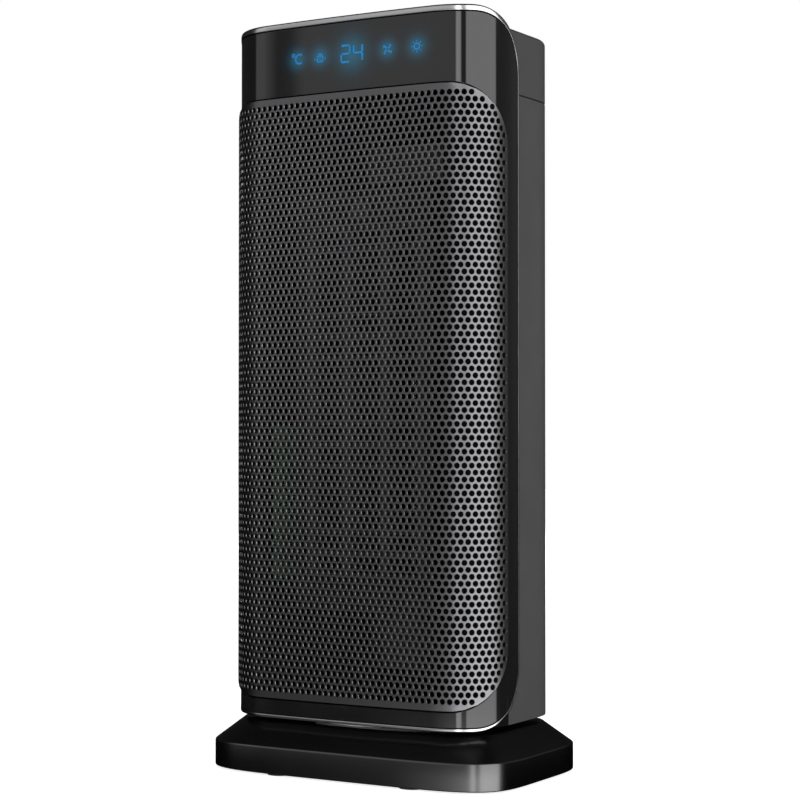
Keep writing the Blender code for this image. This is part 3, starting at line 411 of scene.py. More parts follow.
# spread is how much the gloss varies, grain and bump the fine texture, worn the colour of rubbed edges
looks = {
    "glossPanel": {"colour": (0.006, 0.006, 0.0065), "roughness": 0.045, "spread": 0.02, "grain": 260.0,
                   "bump": 0.004, "worn": (0.05, 0.05, 0.05), "wear": 0.2},
    "glossBase": {"colour": (0.001, 0.001, 0.001), "roughness": 0.21, "spread": 0.06, "grain": 500.0,
                  "bump": 0.02, "worn": (0.03, 0.03, 0.03), "wear": 0.3, "specular": 1.0},
    "satinHousing": {"colour": (0.05, 0.05, 0.051), "roughness": 0.38, "spread": 0.08, "grain": 1500.0,
                     "bump": 0.12, "worn": (0.12, 0.12, 0.12), "wear": 0.4},
    "matteBlack": {"colour": (0.016, 0.016, 0.017), "roughness": 0.55, "spread": 0.1, "grain": 1300.0,
                   "bump": 0.15, "worn": (0.06, 0.06, 0.06), "wear": 0.3},
    "grillePaint": {"colour": (0.125, 0.125, 0.13), "roughness": 0.31, "spread": 0.08, "grain": 1400.0,
                    "bump": 0.1, "worn": (0.3, 0.3, 0.3), "wear": 0.3, "metallic": 1.0},
    "silverTrim": {"colour": (0.46, 0.465, 0.475), "roughness": 0.19, "spread": 0.06, "grain": 1200.0,
                   "bump": 0.03, "worn": (0.8, 0.8, 0.8), "wear": 0.3, "metallic": 1.0},
    # near-black for hidden insides: painted shade where the tower's inside lies in shadow
    "paintedShadeBlack": {"colour": (0.004, 0.004, 0.004), "roughness": 0.8, "spread": 0.1, "grain": 900.0,
                  "bump": 0.1, "worn": (0.01, 0.01, 0.01), "wear": 0.3, "specular": 0.04},
    # metal inside the tower, darkened as painted shade
    "paintedShadeMetal": {"colour": (0.02, 0.02, 0.021), "roughness": 0.55, "spread": 0.1, "grain": 700.0,
                  "bump": 0.1, "worn": (0.05, 0.05, 0.05), "wear": 0.4, "specular": 0.1},
    "rubberBlack": {"colour": (0.018, 0.018, 0.018), "roughness": 0.78, "spread": 0.1, "grain": 900.0,
                    "bump": 0.25, "worn": (0.07, 0.07, 0.07), "wear": 0.5},
    "zincSteel": {"colour": (0.5, 0.5, 0.52), "roughness": 0.34, "spread": 0.12, "grain": 700.0,
                  "bump": 0.08, "worn": (0.7, 0.7, 0.7), "wear": 0.5, "metallic": 1.0},
    "nylonWhite": {"colour": (0.72, 0.71, 0.66), "roughness": 0.5, "spread": 0.08, "grain": 900.0,
                   "bump": 0.1, "worn": (0.8, 0.8, 0.77), "wear": 0.3},
    "heatResin": {"colour": (0.006, 0.0055, 0.005), "roughness": 0.55, "spread": 0.1, "grain": 1000.0,
                  "bump": 0.15, "worn": (0.03, 0.028, 0.026), "wear": 0.4, "specular": 0.05},
    "filterFoam": {"colour": (0.045, 0.045, 0.047), "roughness": 0.95, "spread": 0.04, "grain": 420.0,
                   "bump": 0.9, "worn": (0.09, 0.09, 0.09), "wear": 0.6},
    "boardGreen": {"colour": (0.025, 0.12, 0.05), "roughness": 0.4, "spread": 0.12, "grain": 600.0,
                   "bump": 0.1, "worn": (0.2, 0.3, 0.2), "wear": 0.3},
    "lightClear": {"colour": (0.5, 0.62, 0.75), "roughness": 0.15, "spread": 0.05, "grain": 300.0,
                   "bump": 0.02, "worn": (0.7, 0.75, 0.8), "wear": 0.2},
}
materials = {name: mouldedMaterial(name, look) for name, look in looks.items()}

display = {
    "glowColour": (0.0, 0.42, 0.72),
    "coreColour": (0.0, 0.36, 0.85),
    "coreStrength": 0.58,
    "softStrength": 0.22,
    "haloStrength": 0.19,
    "height": 25.2 * mm,            # middle of the display, below the tower's top
    "lineWidth": 0.95 * mm,
    "softWidth": 1.9 * mm,
    "coreLift": 0.05 * mm, "softLift": 0.02 * mm,       # strokes in front of the panel
    "places": {"degree": -36.7 * mm, "lock": -18.8 * mm, "digits": 5.5 * mm, "fan": 32.1 * mm,
               "sun": 53.4 * mm},
    "haloRadius": {"degree": 6.2 * mm, "lock": 6.2 * mm, "digits": 10.5 * mm, "fan": 6.0 * mm,
                   "sun": 6.4 * mm},
}


def addHalo():
    # painted glow: emission on the front panel about each symbol, standing for the display's light
    # spreading a little in the dark front
    tree = materials["glossPanel"].node_tree
    shader = tree.nodes["Principled BSDF"]
    total = None
    for label, along in display["places"].items():
        x, y = frontPoint(along)[:2]
        spot = addGroup(tree, haloGroup, {"Place": (x, y, towerTop - display["height"]),
                                          "Radius": display["haloRadius"][label]}).outputs["Glow"]
        total = calculate(tree, "ADD", total, spot) if total else spot
    glow = combine(tree, "MULTIPLY", display["glowColour"], total)
    tree.links.new(glow, shader.inputs["Emission Color"])
    shader.inputs["Emission Strength"].default_value = display["haloStrength"]


addHalo()
print("materials made")


# front panel, frame and trim
panel = {"trimTop": 4.2 * mm, "trimSide": 1.5 * mm, "trimBottom": 2.1 * mm, "trimCorner": 38 * mm,
         "joint": 0.45 * mm, "edge": 0.45 * mm, "windowGap": 1.0 * mm, "grilleCorner": 40 * mm,
         "grilleSide": 114.65 * mm, "frameDepth": 2.8 * mm, "frameThickness": 1.65 * mm,
         "frameJoint": 0.6 * mm, "lip": 3.0 * mm}


def trimInner(extra=0.0, steps=20):
    side = panelEdge - panel["trimSide"] - extra
    return roundedRectangle(-side, side, towerLow + panel["trimBottom"] + extra,
                            towerTop - panel["trimTop"] - extra, panel["trimCorner"] - extra, steps)


def grilleOutline(grow=0.0, steps=20):
    side = panel["grilleSide"] + grow
    return roundedRectangle(-side, side, grilleLow.z - grow, grilleHigh.z + grow,
                            panel["grilleCorner"] + grow, steps)


def buildPanel():
    plate = creasedPlate([trimInner(panel["joint"]), grilleOutline(panel["windowGap"])],
                         -front["panelThickness"], 0, panel["edge"])
    addObject("glossFrontPanel", bendRound(plate, "glossFrontPanel"), materials["glossPanel"], "tower",
              ["front_panel"])
    # the frame behind the grille's border is painted-shade black
    top = -panel["frameDepth"]
    inner = creasedPlate([trimInner(panel["frameJoint"]), grilleOutline(-panel["lip"])],
                         top - panel["frameThickness"], top, 0)
    addObject("innerFrontFrame", bendRound(inner, "innerFrontFrame"), materials["paintedShadeBlack"], "tower",
              ["front_frame"])


trim = {"back": 4.4 * mm, "proud": 0.28 * mm,
        # shares of the strip's width
        "crest": 0.42, "fall": 0.5, "innerRound": 0.12, "sideRound": 0.01, "sideProud": 0.07,
        "cornerSteps": 28, "longSteps": 120, "shortSteps": 60, "crestSteps": 8, "innerSteps": 4,
        "smoothTo": radians(50)}


def denseLoop(points):
    # more points along the straight stretches, the same number on every loop
    result = []
    perCorner = trim["cornerSteps"] + 1
    for i, (x, y) in enumerate(points):
        nextX, nextY = points[(i + 1) % len(points)]
        result.append((x, y))
        if (i + 1) % perCorner == 0:
            count = trim["shortSteps"] if i // perCorner % 2 else trim["longSteps"]
            for step in range(1, count):
                share = step / count
                result.append((x + (nextX - x) * share, y + (nextY - y) * share))
    return result


def buildTrim():
    outer = denseLoop(roundedRectangle(-panelEdge, panelEdge, towerLow, towerTop, front["outlineCorner"],
                                       trim["cornerSteps"]))
    inner = denseLoop(trimInner(0, trim["cornerSteps"]))
    bm = bmesh.new()
    rings = []
    for (ox, oy), (ix, iy) in zip(outer, inner):
        width = hypot(ix - ox, iy - oy)
        proud = min(trim["proud"], trim["sideProud"] * width)
        sideways = abs(ix - ox) / width
        crest, fall = trim["crest"] * width, trim["fall"] * width
        roundIn = (trim["innerRound"] * (1 - sideways) + trim["sideRound"] * sideways) * width
        profile = [(0.0, -trim["back"])]
        for step in range(trim["crestSteps"] + 1):
            angle = radians(90 * step / trim["crestSteps"])
            profile.append((crest * (1 - cos(angle)), proud - fall * (1 - sin(angle))))
        for step in range(trim["innerSteps"] + 1):
            angle = radians(90 * step / trim["innerSteps"])
            profile.append((width - roundIn * (1 - sin(angle)), proud - roundIn * (1 - cos(angle))))
        profile.append((width, -trim["back"]))
        ring = []
        for inset, depth in profile:
            share = inset / width
            x, y = frontPoint(ox + (ix - ox) * share, depth)[:2]
            ring.append(bm.verts.new((x, y, oy + (iy - oy) * share)))
        rings.append(ring)
    for ring, following in zip(rings, rings[1:] + rings[:1]):
        for i in range(len(ring)):
            j = (i + 1) % len(ring)
            bm.faces.new((ring[i], following[i], following[j], ring[j]))
    faceOutwards(bm)
    mesh = meshFrom(bm, "silverTrim")
    mesh.shade_smooth()
    mesh.set_sharp_from_angle(angle=trim["smoothTo"])
    addObject("silverEdgeTrim", mesh, materials["silverTrim"], "tower", ["trim_ring"])


# perforated grille
grille = {"proud": 1.85 * mm, "pitch": 4.46 * mm, "row": 4.33 * mm,
          "holeWidth": 3.05 * mm, "holeHeight": 3.35 * mm, "sides": 12, "rimDepth": 1.9 * mm,
          "lip": 0.28 * mm, "lipDepth": 0.45 * mm, "border": 0.1 * mm, "borderSteps": 16,
          "smoothTo": radians(62)}


def cellOutline(x, y):
    # hexagon cell of the staggered rows, pointed at top and bottom
    half, third = grille["pitch"] / 2, grille["row"] / 3
    return [(x, y - 2 * third), (x + half, y - third), (x + half, y + third), (x, y + 2 * third),
            (x - half, y + third), (x - half, y - third)]


def addCell(bm, x, y, corner, top):
    # one hole with its short rim and its share of the sheet, or a blank cell where the border would
    # cut the hole; corner looks up shared corners
    hexagon = [corner(px, py) for px, py in cellOutline(x, y)]
    if not insideOutline(x, y, grille["holeHeight"] / 2 + grille["border"]):
        bm.faces.new(hexagon)
        return
    sides = grille["sides"]
    lip, rim = [], []
    for ring, grow, z in ((lip, grille["lip"], top), (rim, 0, top - grille["lipDepth"])):
        for i in range(sides):
            angle = 2 * pi * i / sides - pi / 2
            px = x + (grille["holeWidth"] / 2 + grow) * cos(angle)
            py = y + (grille["holeHeight"] / 2 + grow) * sin(angle)
            ring.append(bm.verts.new((px, py, z)))
    share = sides // 6
    for i in range(6):
        arc = [lip[(share * i + k) % sides] for k in range(share + 1)]
        bm.faces.new([hexagon[i], hexagon[(i + 1) % 6]] + list(reversed(arc)))
    for i in range(sides):
        j = (i + 1) % sides
        bm.faces.new((lip[j], lip[i], rim[i], rim[j]))


def extrudeRim(bm, edges, rise):
    moved = bmesh.ops.extrude_edge_only(bm, edges=edges)["geom"]
    bmesh.ops.translate(bm, verts=[v for v in moved if isinstance(v, bmesh.types.BMVert)], vec=(0, 0, rise))


def insideOutline(x, y, margin):
    side = panel["grilleSide"] - margin
    low, high = grilleLow.z + margin, grilleHigh.z - margin
    radius = panel["grilleCorner"] - margin
    if not (-side <= x <= side and low <= y <= high):
        return False
    cx = max(abs(x) - (side - radius), 0)
    cy = max(low + radius - y, y - (high - radius), 0)
    return hypot(cx, cy) <= radius


def buildGrille():
    top = grille["proud"]
    whole, edge = bmesh.new(), bmesh.new()
    stores = {}

    def cornerOf(bm):
        store = stores.setdefault(id(bm), {})

        def corner(x, y):
            key = (round(x / small), round(y / small))
            if key not in store:
                store[key] = bm.verts.new((x, y, top))
            return store[key]
        return corner

    reach = hypot(grille["pitch"] / 2, grille["row"] * 2 / 3)
    rows = int((grilleHigh.z - grilleLow.z) / grille["row"]) + 2
    columns = int(panel["grilleSide"] / grille["pitch"]) + 2
    middle = (grilleLow.z + grilleHigh.z) / 2
    for row in range(-rows // 2, rows // 2 + 1):
        for column in range(-columns, columns + 1):
            x = (column + (0.5 if row % 2 else 0)) * grille["pitch"]
            y = middle + row * grille["row"]
            if insideOutline(x, y, reach):
                addCell(whole, x, y, cornerOf(whole), top)
            elif insideOutline(x, y, -reach):
                addCell(edge, x, y, cornerOf(edge), top)
    outline = grilleOutline(0, grille["borderSteps"])
    for (ax, ay), (bx, by) in zip(outline, outline[1:] + outline[:1]):
        outward = Vector((by - ay, ax - bx, 0))
        if outward.length < tiny:
            continue
        everything = edge.verts[:] + edge.edges[:] + edge.faces[:]
        bmesh.ops.bisect_plane(edge, geom=everything, plane_co=(ax, ay, 0), plane_no=outward,
                               clear_outer=True, dist=tiny)
    mesh = meshFrom(edge, "edgeCells")
    whole.from_mesh(mesh)
    bpy.data.meshes.remove(mesh)
    bmesh.ops.remove_doubles(whole, verts=whole.verts, dist=4 * tiny)
    whole.normal_update()
    openRim = [e for e in whole.edges if e.is_boundary and min(v.co.z for v in e.verts) > top - small]
    extrudeRim(whole, openRim, -grille["rimDepth"])
    whole.verts.index_update()
    whole.normal_update()
    print("grille triangles", sum(len(face.verts) - 2 for face in whole.faces))
    addObject("perforatedGrille", bendRound(whole, "perforatedGrille", False), materials["grillePaint"],
              "tower", ["front_grille"])


buildPanel()
buildTrim()
buildGrille()
print("front made")


# rear housing and cap
shell = {"inset": 4.75 * mm, "rearCorner": 36.5 * mm, "rearSteps": 20, "wall": 2.5 * mm,
         "opening": 70 * mm, "firstGap": 0.5 * mm, "edge": 0.7 * mm, "smoothTo": radians(35),
         "capEdge": 3.0 * mm, "capSteps": 6, "capAngle": radians(60), "capRim": 0.6 * mm, "capRimAngle": 50,
         "seam": 0.5 * mm, "insideFrom": 1 * mm}
# openings in the rear wall: play round the piece, depth of the cut inside and past the wall, corners
rearCuts = {"play": 0.35 * mm, "inside": 8 * mm, "past": 5 * mm, "filter": 6 * mm, "grip": 5 * mm,
            "switch": 0.8 * mm, "cornerSteps": 6}
rearY = housingHigh.y


def housingHalf(inset, start):
    points = [frontPoint(start, -inset)[:2]]
    points += [frontPoint(s, -inset)[:2] for s in stations() if s > start + shell["firstGap"]]
    radius = shell["rearCorner"] - (inset - shell["inset"])
    centreX = halfWidth - shell["inset"] - shell["rearCorner"]
    centreY = rearY - shell["rearCorner"]
    for step in range(shell["rearSteps"] + 1):
        angle = radians(90 * step / shell["rearSteps"])
        points.append((centreX + radius * cos(angle), centreY + radius * sin(angle)))
    return points


def mirrored(points):
    return [(-x, y) for x, y in reversed(points)]


def standUp(bm):
    # turns a plate drawn in XY so that it stands in XZ
    bmesh.ops.rotate(bm, verts=bm.verts, cent=(0, 0, 0), matrix=Matrix.Rotation(pi / 2, 3, "X"))
    return bm


def standingCutter(outline, near, far):
    bm = standUp(filledOutlines([outline], -far, -near))
    return intoScene("cutter", meshFrom(bm, "cutter"))


def roundedBox(low, high, corner, grow=0.0):
    # outline of a box seen from behind, larger by grow on each side
    return roundedRectangle(low.x - grow, high.x + grow, low.z - grow, high.z + grow, corner,
                            rearCuts["cornerSteps"])


def cutAndDrop(obj, cutters):
    for cutter in cutters:
        boolean = obj.modifiers.new("cut", "BOOLEAN")
        boolean.object = cutter
        boolean.solver = "EXACT"
    applyModifiers(obj)
    for cutter in cutters:
        bpy.data.objects.remove(cutter, do_unlink=True)


def paintShadeInside(obj):
    # painted shade: faces towards the middle of the tower, and walls behind the front, get plain black
    # where the inside lies in shadow
    obj.data.materials.append(materials["paintedShadeBlack"])
    for face in obj.data.polygons:
        inwards = face.normal.dot(Vector((face.center.x, face.center.y, 0))) < -shell["insideFrom"]
        behindFront = abs(face.normal.z) < 0.5 and face.center.y < frontY + cornerDepth
        if inwards or behindFront:
            face.material_index = 1


def wallSection(inset, thickness):
    # plan of a wall that follows the housing and is open towards the front
    outer = housingHalf(inset, shell["opening"])
    inner = housingHalf(inset + thickness, shell["opening"])
    return outer + mirrored(outer) + list(reversed(mirrored(inner))) + list(reversed(inner))


def buildHousing():
    section = wallSection(shell["inset"], shell["wall"])
    bm = filledOutlines([section], housingLow.z, housingHigh.z)
    housing = addObject("rearHousingShell", meshFrom(bm, "rearHousingShell"), materials["satinHousing"],
                        "tower", ["rear_housing"])
    housing.data.shade_smooth()
    roundEdges(housing, shell["edge"])
    applyModifiers(housing)
    near, far = rearY - rearCuts["inside"], rearY + rearCuts["past"]
    cutters = []
    for node, corner in (("filter_cover", "filter"), ("grip_cup", "grip"), ("switch_body", "switch")):
        low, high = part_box(node)
        cutters.append(standingCutter(roundedBox(low, high, rearCuts[corner], rearCuts["play"]), near, far))
    cutAndDrop(housing, cutters)
    paintShadeInside(housing)
    housing.data.set_sharp_from_angle(angle=shell["smoothTo"])
    evenNormals(housing)


def buildCap():
    half = housingHalf(shell["inset"], 0)
    plan = half + mirrored(half)[:-1]
    bm = bmesh.new()
    face = bm.faces.new([bm.verts.new((x, y, capHigh.z)) for x, y in plan])
    extrudeRim(bm, face.edges[:], capLow.z + shell["seam"] - capHigh.z)
    bmesh.ops.recalc_face_normals(bm, faces=bm.faces)
    if face.normal.z < 0:
        bmesh.ops.reverse_faces(bm, faces=bm.faces)
    cap = addObject("roundedTopCap", meshFrom(bm, "roundedTopCap"), materials["satinHousing"], "tower",
                    ["top_cap"])
    bevel = cap.modifiers.new("top", "BEVEL")
    bevel.width = shell["capEdge"]
    bevel.segments = shell["capSteps"]
    bevel.limit_method = "ANGLE"
    bevel.angle_limit = shell["capAngle"]
    wall = cap.modifiers.new("wall", "SOLIDIFY")
    wall.thickness = shell["wall"]
    wall.offset = -1
    wall.use_even_offset = True
    applyModifiers(cap)
    paintShadeInside(cap)
    cap.data.shade_smooth()
    roundEdges(cap, shell["capRim"], shell["capRimAngle"])


grip = {"wall": 1.8 * mm, "edge": 0.4 * mm, "floor": 1.8 * mm}


def addPlates(name, plates, material, nodes=(), edge=0.0):
    # plates are (outlines, front, rear); they make one piece
    whole = bmesh.new()
    for outlines, near, far in plates:
        mesh = meshFrom(standUp(filledOutlines(outlines, -far, -near)), "plate")
        whole.from_mesh(mesh)
        bpy.data.meshes.remove(mesh)
    obj = addObject(name, meshFrom(whole, name), materials[material], "tower", nodes)
    obj.data.shade_smooth()
    obj.data.set_sharp_from_angle(angle=shell["smoothTo"])
    if edge:
        roundEdges(obj, edge)


def buildGrip():
    low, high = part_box("grip_cup")
    outer = roundedBox(low, high, rearCuts["grip"])
    inner = roundedBox(low, high, rearCuts["grip"] - grip["wall"], -grip["wall"])
    bottom = low.y + grip["floor"]
    addPlates("roundedGripCup", [([outer, inner], bottom, high.y), ([outer], low.y, bottom)],
              "satinHousing", ["grip_cup"], grip["edge"])


# ledges behind the joints, so that no light comes through them; their black is painted shade
seat = {"depth": 1.2 * mm, "outside": 3 * mm, "inside": 2 * mm, "slack": 0.1 * mm}


def buildSeats():
    rear = rearY - shell["wall"]
    for name, node, corner, inside in (("filterSeat", "filter_cover", rearCuts["filter"], seat["inside"]),
                                       ("gripSeat", "grip_cup", rearCuts["grip"], -seat["slack"])):
        low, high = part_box(node)
        ledge = roundedBox(low, high, corner + seat["outside"], seat["outside"])
        opening = roundedBox(low, high, corner - inside, -inside)
        addPlates(name, [([ledge, opening], rear - seat["depth"], rear)], "paintedShadeBlack")


def buildSeamLedge():
    section = wallSection(shell["inset"] + shell["wall"] + seat["slack"], seat["depth"])
    bm = filledOutlines([section], capLow.z - seat["outside"], capLow.z + seat["outside"])
    addObject("seamLedge", meshFrom(bm, "seamLedge"), materials["paintedShadeBlack"], "tower")


buildGrip()
buildSeats()
buildSeamLedge()
buildHousing()
buildCap()
print("housing made")


# base
base = {"power": 5, "points": 176, "slopeInset": 17.2 * mm, "wall": 2.5 * mm, "wallRound": 1.8 * mm,
        "topRound": 2.5 * mm, "footRound": 0.8 * mm, "wallTop": 18.7 * mm, "innerDrop": 1 * mm,
        "innerInset": 1.2 * mm, "plateau": 30 * mm, "hole": 14.8 * mm, "smoothTo": radians(40),
        # hole for the cord gland: radius, facets, cut past the wall and into it
        "glandHole": 5 * mm, "glandSteps": 32, "glandPast": 5 * mm, "glandInside": 12 * mm}


def superellipse(halfX, halfY):
    points = []
    for i in range(base["points"]):
        angle = 2 * pi * (i + 0.5) / base["points"]
        x = abs(cos(angle)) ** (2 / base["power"]) * (1 if cos(angle) > 0 else -1)
        y = abs(sin(angle)) ** (2 / base["power"]) * (1 if sin(angle) > 0 else -1)
        points.append((halfX * x, halfY * y))
    return points


def arcBetween(before, corner, after, radius, steps=5):
    # rounded corner of a profile given as (inset, height)
    back = (Vector(before) - Vector(corner)).normalized()
    forth = (Vector(after) - Vector(corner)).normalized()
    turn = back.angle(forth)
    reach = radius / max(0.05, abs(sin(turn / 2) / cos(turn / 2)))
    start, end = Vector(corner) + back * reach, Vector(corner) + forth * reach
    middle = Vector(corner) + (back + forth).normalized() * (radius / sin(turn / 2))
    arc = []
    a, b = start - middle, end - middle
    for step in range(steps + 1):
        arc.append(tuple(middle + (a.lerp(b, step / steps)).normalized() * radius))
    return arc


def buildBase():
    halfX, halfY = coverHigh.x, coverHigh.y
    low, top = coverLow.z, coverHigh.z
    inset, inner, wallTop = base["slopeInset"], base["wall"], base["wallTop"]
    plateau = inset + base["plateau"]
    outline = [(plateau, top)]
    outline += arcBetween((plateau, top), (inset, top), (0, wallTop), base["topRound"])
    outline += arcBetween((inset, top), (0, wallTop), (0, low), base["wallRound"])
    outline += arcBetween((0, wallTop), (0, low), (inner, low), base["footRound"])
    outline += [(inner, low), (inner, wallTop - base["innerDrop"]),
                (inset + base["innerInset"], top - inner), (plateau, top - inner)]
    bm = bmesh.new()
    hole = [(base["hole"] * x / hypot(x, y), base["hole"] * y / hypot(x, y))
            for x, y in superellipse(halfX, halfY)]
    rings = []
    for depth, z in outline:
        rings.append([bm.verts.new((x, y, z)) for x, y in superellipse(halfX - depth, halfY - depth)])
    rings.insert(0, [bm.verts.new((x, y, top)) for x, y in hole])
    rings.append([bm.verts.new((x, y, top - inner)) for x, y in hole])
    count = base["points"]
    for ring, following in zip(rings, rings[1:] + rings[:1]):
        for i in range(count):
            j = (i + 1) % count
            bm.faces.new((ring[i], ring[j], following[j], following[i]))
    faceOutwards(bm)
    cover = addObject("flaredBaseCover", meshFrom(bm, "flaredBaseCover"), materials["glossBase"], "base",
                      ["base_cover"])
    glandLow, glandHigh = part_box("cord_gland")
    centre = (glandLow + glandHigh) / 2
    facets = base["glandSteps"]
    turns = [2 * pi * i / facets for i in range(facets)]
    drill = [(centre.x + base["glandHole"] * cos(a), centre.z + base["glandHole"] * sin(a)) for a in turns]
    cutAndDrop(cover, [standingCutter(drill, halfY - base["glandInside"], halfY + base["glandPast"])])
    cover.data.shade_smooth()
    cover.data.set_sharp_from_angle(angle=base["smoothTo"])


buildBase()
print("base made")


# display symbols, as thin lit strokes in the front; weights are shares of the line's width
symbols = {
    "digits": {"tall": 10.6 * mm, "wide": 6.4 * mm, "space": 3.0 * mm, "gap": 0.35 * mm, "weight": 1.15},
    "degree": {"dotLeft": 3.0 * mm, "dotUp": 2.6 * mm, "dot": 1.0 * mm, "dotWeight": 0.7,
               "letterRight": 1.6 * mm, "letter": 3.0 * mm, "opening": 50, "letterWeight": 0.95},
    "lock": {"down": 3.2 * mm, "up": 0.3 * mm, "half": 2.1 * mm, "bow": 1.5 * mm, "bowWeight": 0.9,
             "keyLow": 1.1 * mm, "keyHigh": 1.0 * mm, "keyWeight": 0.8, "tickFrom": 3.6 * mm,
             "tickTo": 4.4 * mm, "tickDown": 1.5 * mm},
    # each blade runs through three points: distance from the middle and bend
    "fan": {"blade": [(0.9 * mm, 0), (2.5 * mm, 0), (3.7 * mm, radians(16))], "first": 42, "weight": 1.3},
    "sun": {"disc": 1.9 * mm, "discWeight": 0.9, "rayFrom": 3.1 * mm, "rayTo": 3.9 * mm, "rayWeight": 0.8},
}


def strokePlate(bm, outline):
    bm.faces.new([bm.verts.new((x, y, 0)) for x, y in outline])


def bar(bm, ax, ay, bx, by, width):
    length = hypot(bx - ax, by - ay)
    nx, ny = -(by - ay) / length * width / 2, (bx - ax) / length * width / 2
    strokePlate(bm, [(ax - nx, ay - ny), (bx - nx, by - ny), (bx + nx, by + ny), (ax + nx, ay + ny)])


def arcStroke(bm, x, y, radius, start, end, width, steps=16):
    outer = radius + width / 2
    inner = radius - width / 2
    for step in range(steps):
        a = radians(start + (end - start) * step / steps)
        b = radians(start + (end - start) * (step + 1) / steps)
        strokePlate(bm, [(x + r * cos(turn), y + r * sin(turn))
                         for r, turn in ((inner, a), (outer, a), (outer, b), (inner, b))])


def drawDigits(bm, x, y, width):
    # seven-segment 2 and 4
    segments = {"2": "abged", "4": "fgbc"}
    look = symbols["digits"]
    tall, wide, space, gap = look["tall"], look["wide"], look["space"], look["gap"]
    for digit, left in (("2", x - wide - space / 2), ("4", x + space / 2)):
        right, low, high = left + wide, y - tall / 2, y + tall / 2
        ends = {"a": (left + gap, high, right - gap, high), "b": (right, high - gap, right, y + gap),
                "c": (right, y - gap, right, low + gap), "d": (left + gap, low, right - gap, low),
                "e": (left, y - gap, left, low + gap), "f": (left, high - gap, left, y + gap),
                "g": (left + gap, y, right - gap, y)}
        for name in segments[digit]:
            bar(bm, *ends[name], width * look["weight"])


def drawDegree(bm, x, y, width):
    look = symbols["degree"]
    arcStroke(bm, x - look["dotLeft"], y + look["dotUp"], look["dot"], 0, 360,
              width * look["dotWeight"], 14)
    arcStroke(bm, x + look["letterRight"], y, look["letter"], look["opening"], 360 - look["opening"],
              width * look["letterWeight"])


def drawLock(bm, x, y, width):
    look = symbols["lock"]
    low, high, half = y - look["down"], y + look["up"], look["half"]
    bar(bm, x - half, low, x + half, low, width)
    bar(bm, x - half, high, x + half, high, width)
    bar(bm, x - half, low, x - half, high, width)
    bar(bm, x + half, low, x + half, high, width)
    arcStroke(bm, x, high, look["bow"], 0, 180, width * look["bowWeight"], 10)
    bar(bm, x, low + look["keyLow"], x, high - look["keyHigh"], width * look["keyWeight"])
    tick = y - look["tickDown"]
    for side in (-1, 1):
        bar(bm, x + side * look["tickFrom"], tick, x + side * look["tickTo"], tick, width)


def drawFan(bm, x, y, width):
    # four short blades, each bent at its end
    look = symbols["fan"]
    for turn in range(4):
        angle = radians(look["first"] + 90 * turn)
        points = [(x + r * cos(angle + bend), y + r * sin(angle + bend)) for r, bend in look["blade"]]
        for (ax, ay), (bx, by) in zip(points, points[1:]):
            bar(bm, ax, ay, bx, by, width * look["weight"])


def drawSun(bm, x, y, width):
    look = symbols["sun"]
    start, end = look["rayFrom"], look["rayTo"]
    arcStroke(bm, x, y, look["disc"], 0, 360, width * look["discWeight"], 22)
    for turn in range(8):
        angle = radians(45 * turn)
        bar(bm, x + start * cos(angle), y + start * sin(angle), x + end * cos(angle), y + end * sin(angle),
            width * look["rayWeight"])


def makeGlow(name, strength):
    material, tree, shader = newMaterial(name, (0.0, 0.004, 0.01), 0.3)
    shader.inputs["Emission Strength"].default_value = strength
    uneven = remap(tree, unevenness(tree, ownPlace(tree), 420.0, 2.0), 0, 1, 0.55, 1.25)
    glow = combine(tree, "MULTIPLY", display["coreColour"], uneven)
    tree.links.new(glow, shader.inputs["Emission Color"])
    return material


def buildDisplay():
    # the soft layer is painted glow, wider than the lit strokes
    strokes = [("Soft", makeGlow("displaySoftGlow", display["softStrength"]), display["softWidth"],
                display["softLift"]),
               ("", makeGlow("displayGlow", display["coreStrength"]), display["lineWidth"],
                display["coreLift"])]
    drawings = {"degree": drawDegree, "lock": drawLock, "digits": drawDigits, "fan": drawFan,
                "sun": drawSun}
    height = towerTop - display["height"]
    for label, draw in drawings.items():
        for layer, material, width, lift in strokes:
            bm = bmesh.new()
            draw(bm, display["places"][label], height, width)
            bmesh.ops.recalc_face_normals(bm, faces=bm.faces)
            for face in bm.faces:
                if face.normal.z < 0:
                    face.normal_flip()
            for vert in bm.verts:
                x, y = frontPoint(vert.co.x, lift)[:2]
                vert.co = (x, y, vert.co.y)
            name = "display" + label.capitalize() + layer
            addObject(name, meshFrom(bm, name), material, "tower")


buildDisplay()
print("display made")


# carried-over pieces
finishes = {
    "matteBlack": ["relay", "thermal_fuse", "temperature_sensor", "switch_body", "base_plate", "tip_switch",
                   "buzzer", "capacitor"],
    # hidden pieces inside the tower, in painted-shade black
    "paintedShadeBlack": ["grille_frame", "tower_floor", "blower_wheel"],
    "satinHousing": ["filter_cover"],
    "glossBase": ["switch_bezel", "power_rocker"],
    "rubberBlack": ["foot_1", "foot_2", "foot_3", "foot_4", "cord_gland", "bearing_rubber"],
    # inner metal parts darkened as painted shade
    "paintedShadeMetal": ["fan_motor", "ptc_core", "thermal_cutout"],
    "zincSteel": ["ballast_plate", "osc_motor", "retaining_washer", "blower_shaft", "top_bearing",
                  "tip_spring", "base_screw_1", "base_screw_2", "base_screw_3", "base_screw_4",
                  "housing_screw_1", "housing_screw_2", "hub_screw_1", "hub_screw_2"],
    "nylonWhite": ["turntable_ring", "turntable_hub", "sector_gear", "osc_pinion", "tip_plunger"],
    "heatResin": ["motor_plate", "bearing_plate", "scroll_wall", "vortex_tongue", "heater_frame"],
    "filterFoam": ["filter_foam"],
    "boardGreen": ["display_board", "power_board"],
    "lightClear": ["light_guide"],
}


def finishCarried():
    for name, nodes in finishes.items():
        for node in nodes:
            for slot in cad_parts[node].material_slots:
                slot.material = materials[name]


finishCarried()


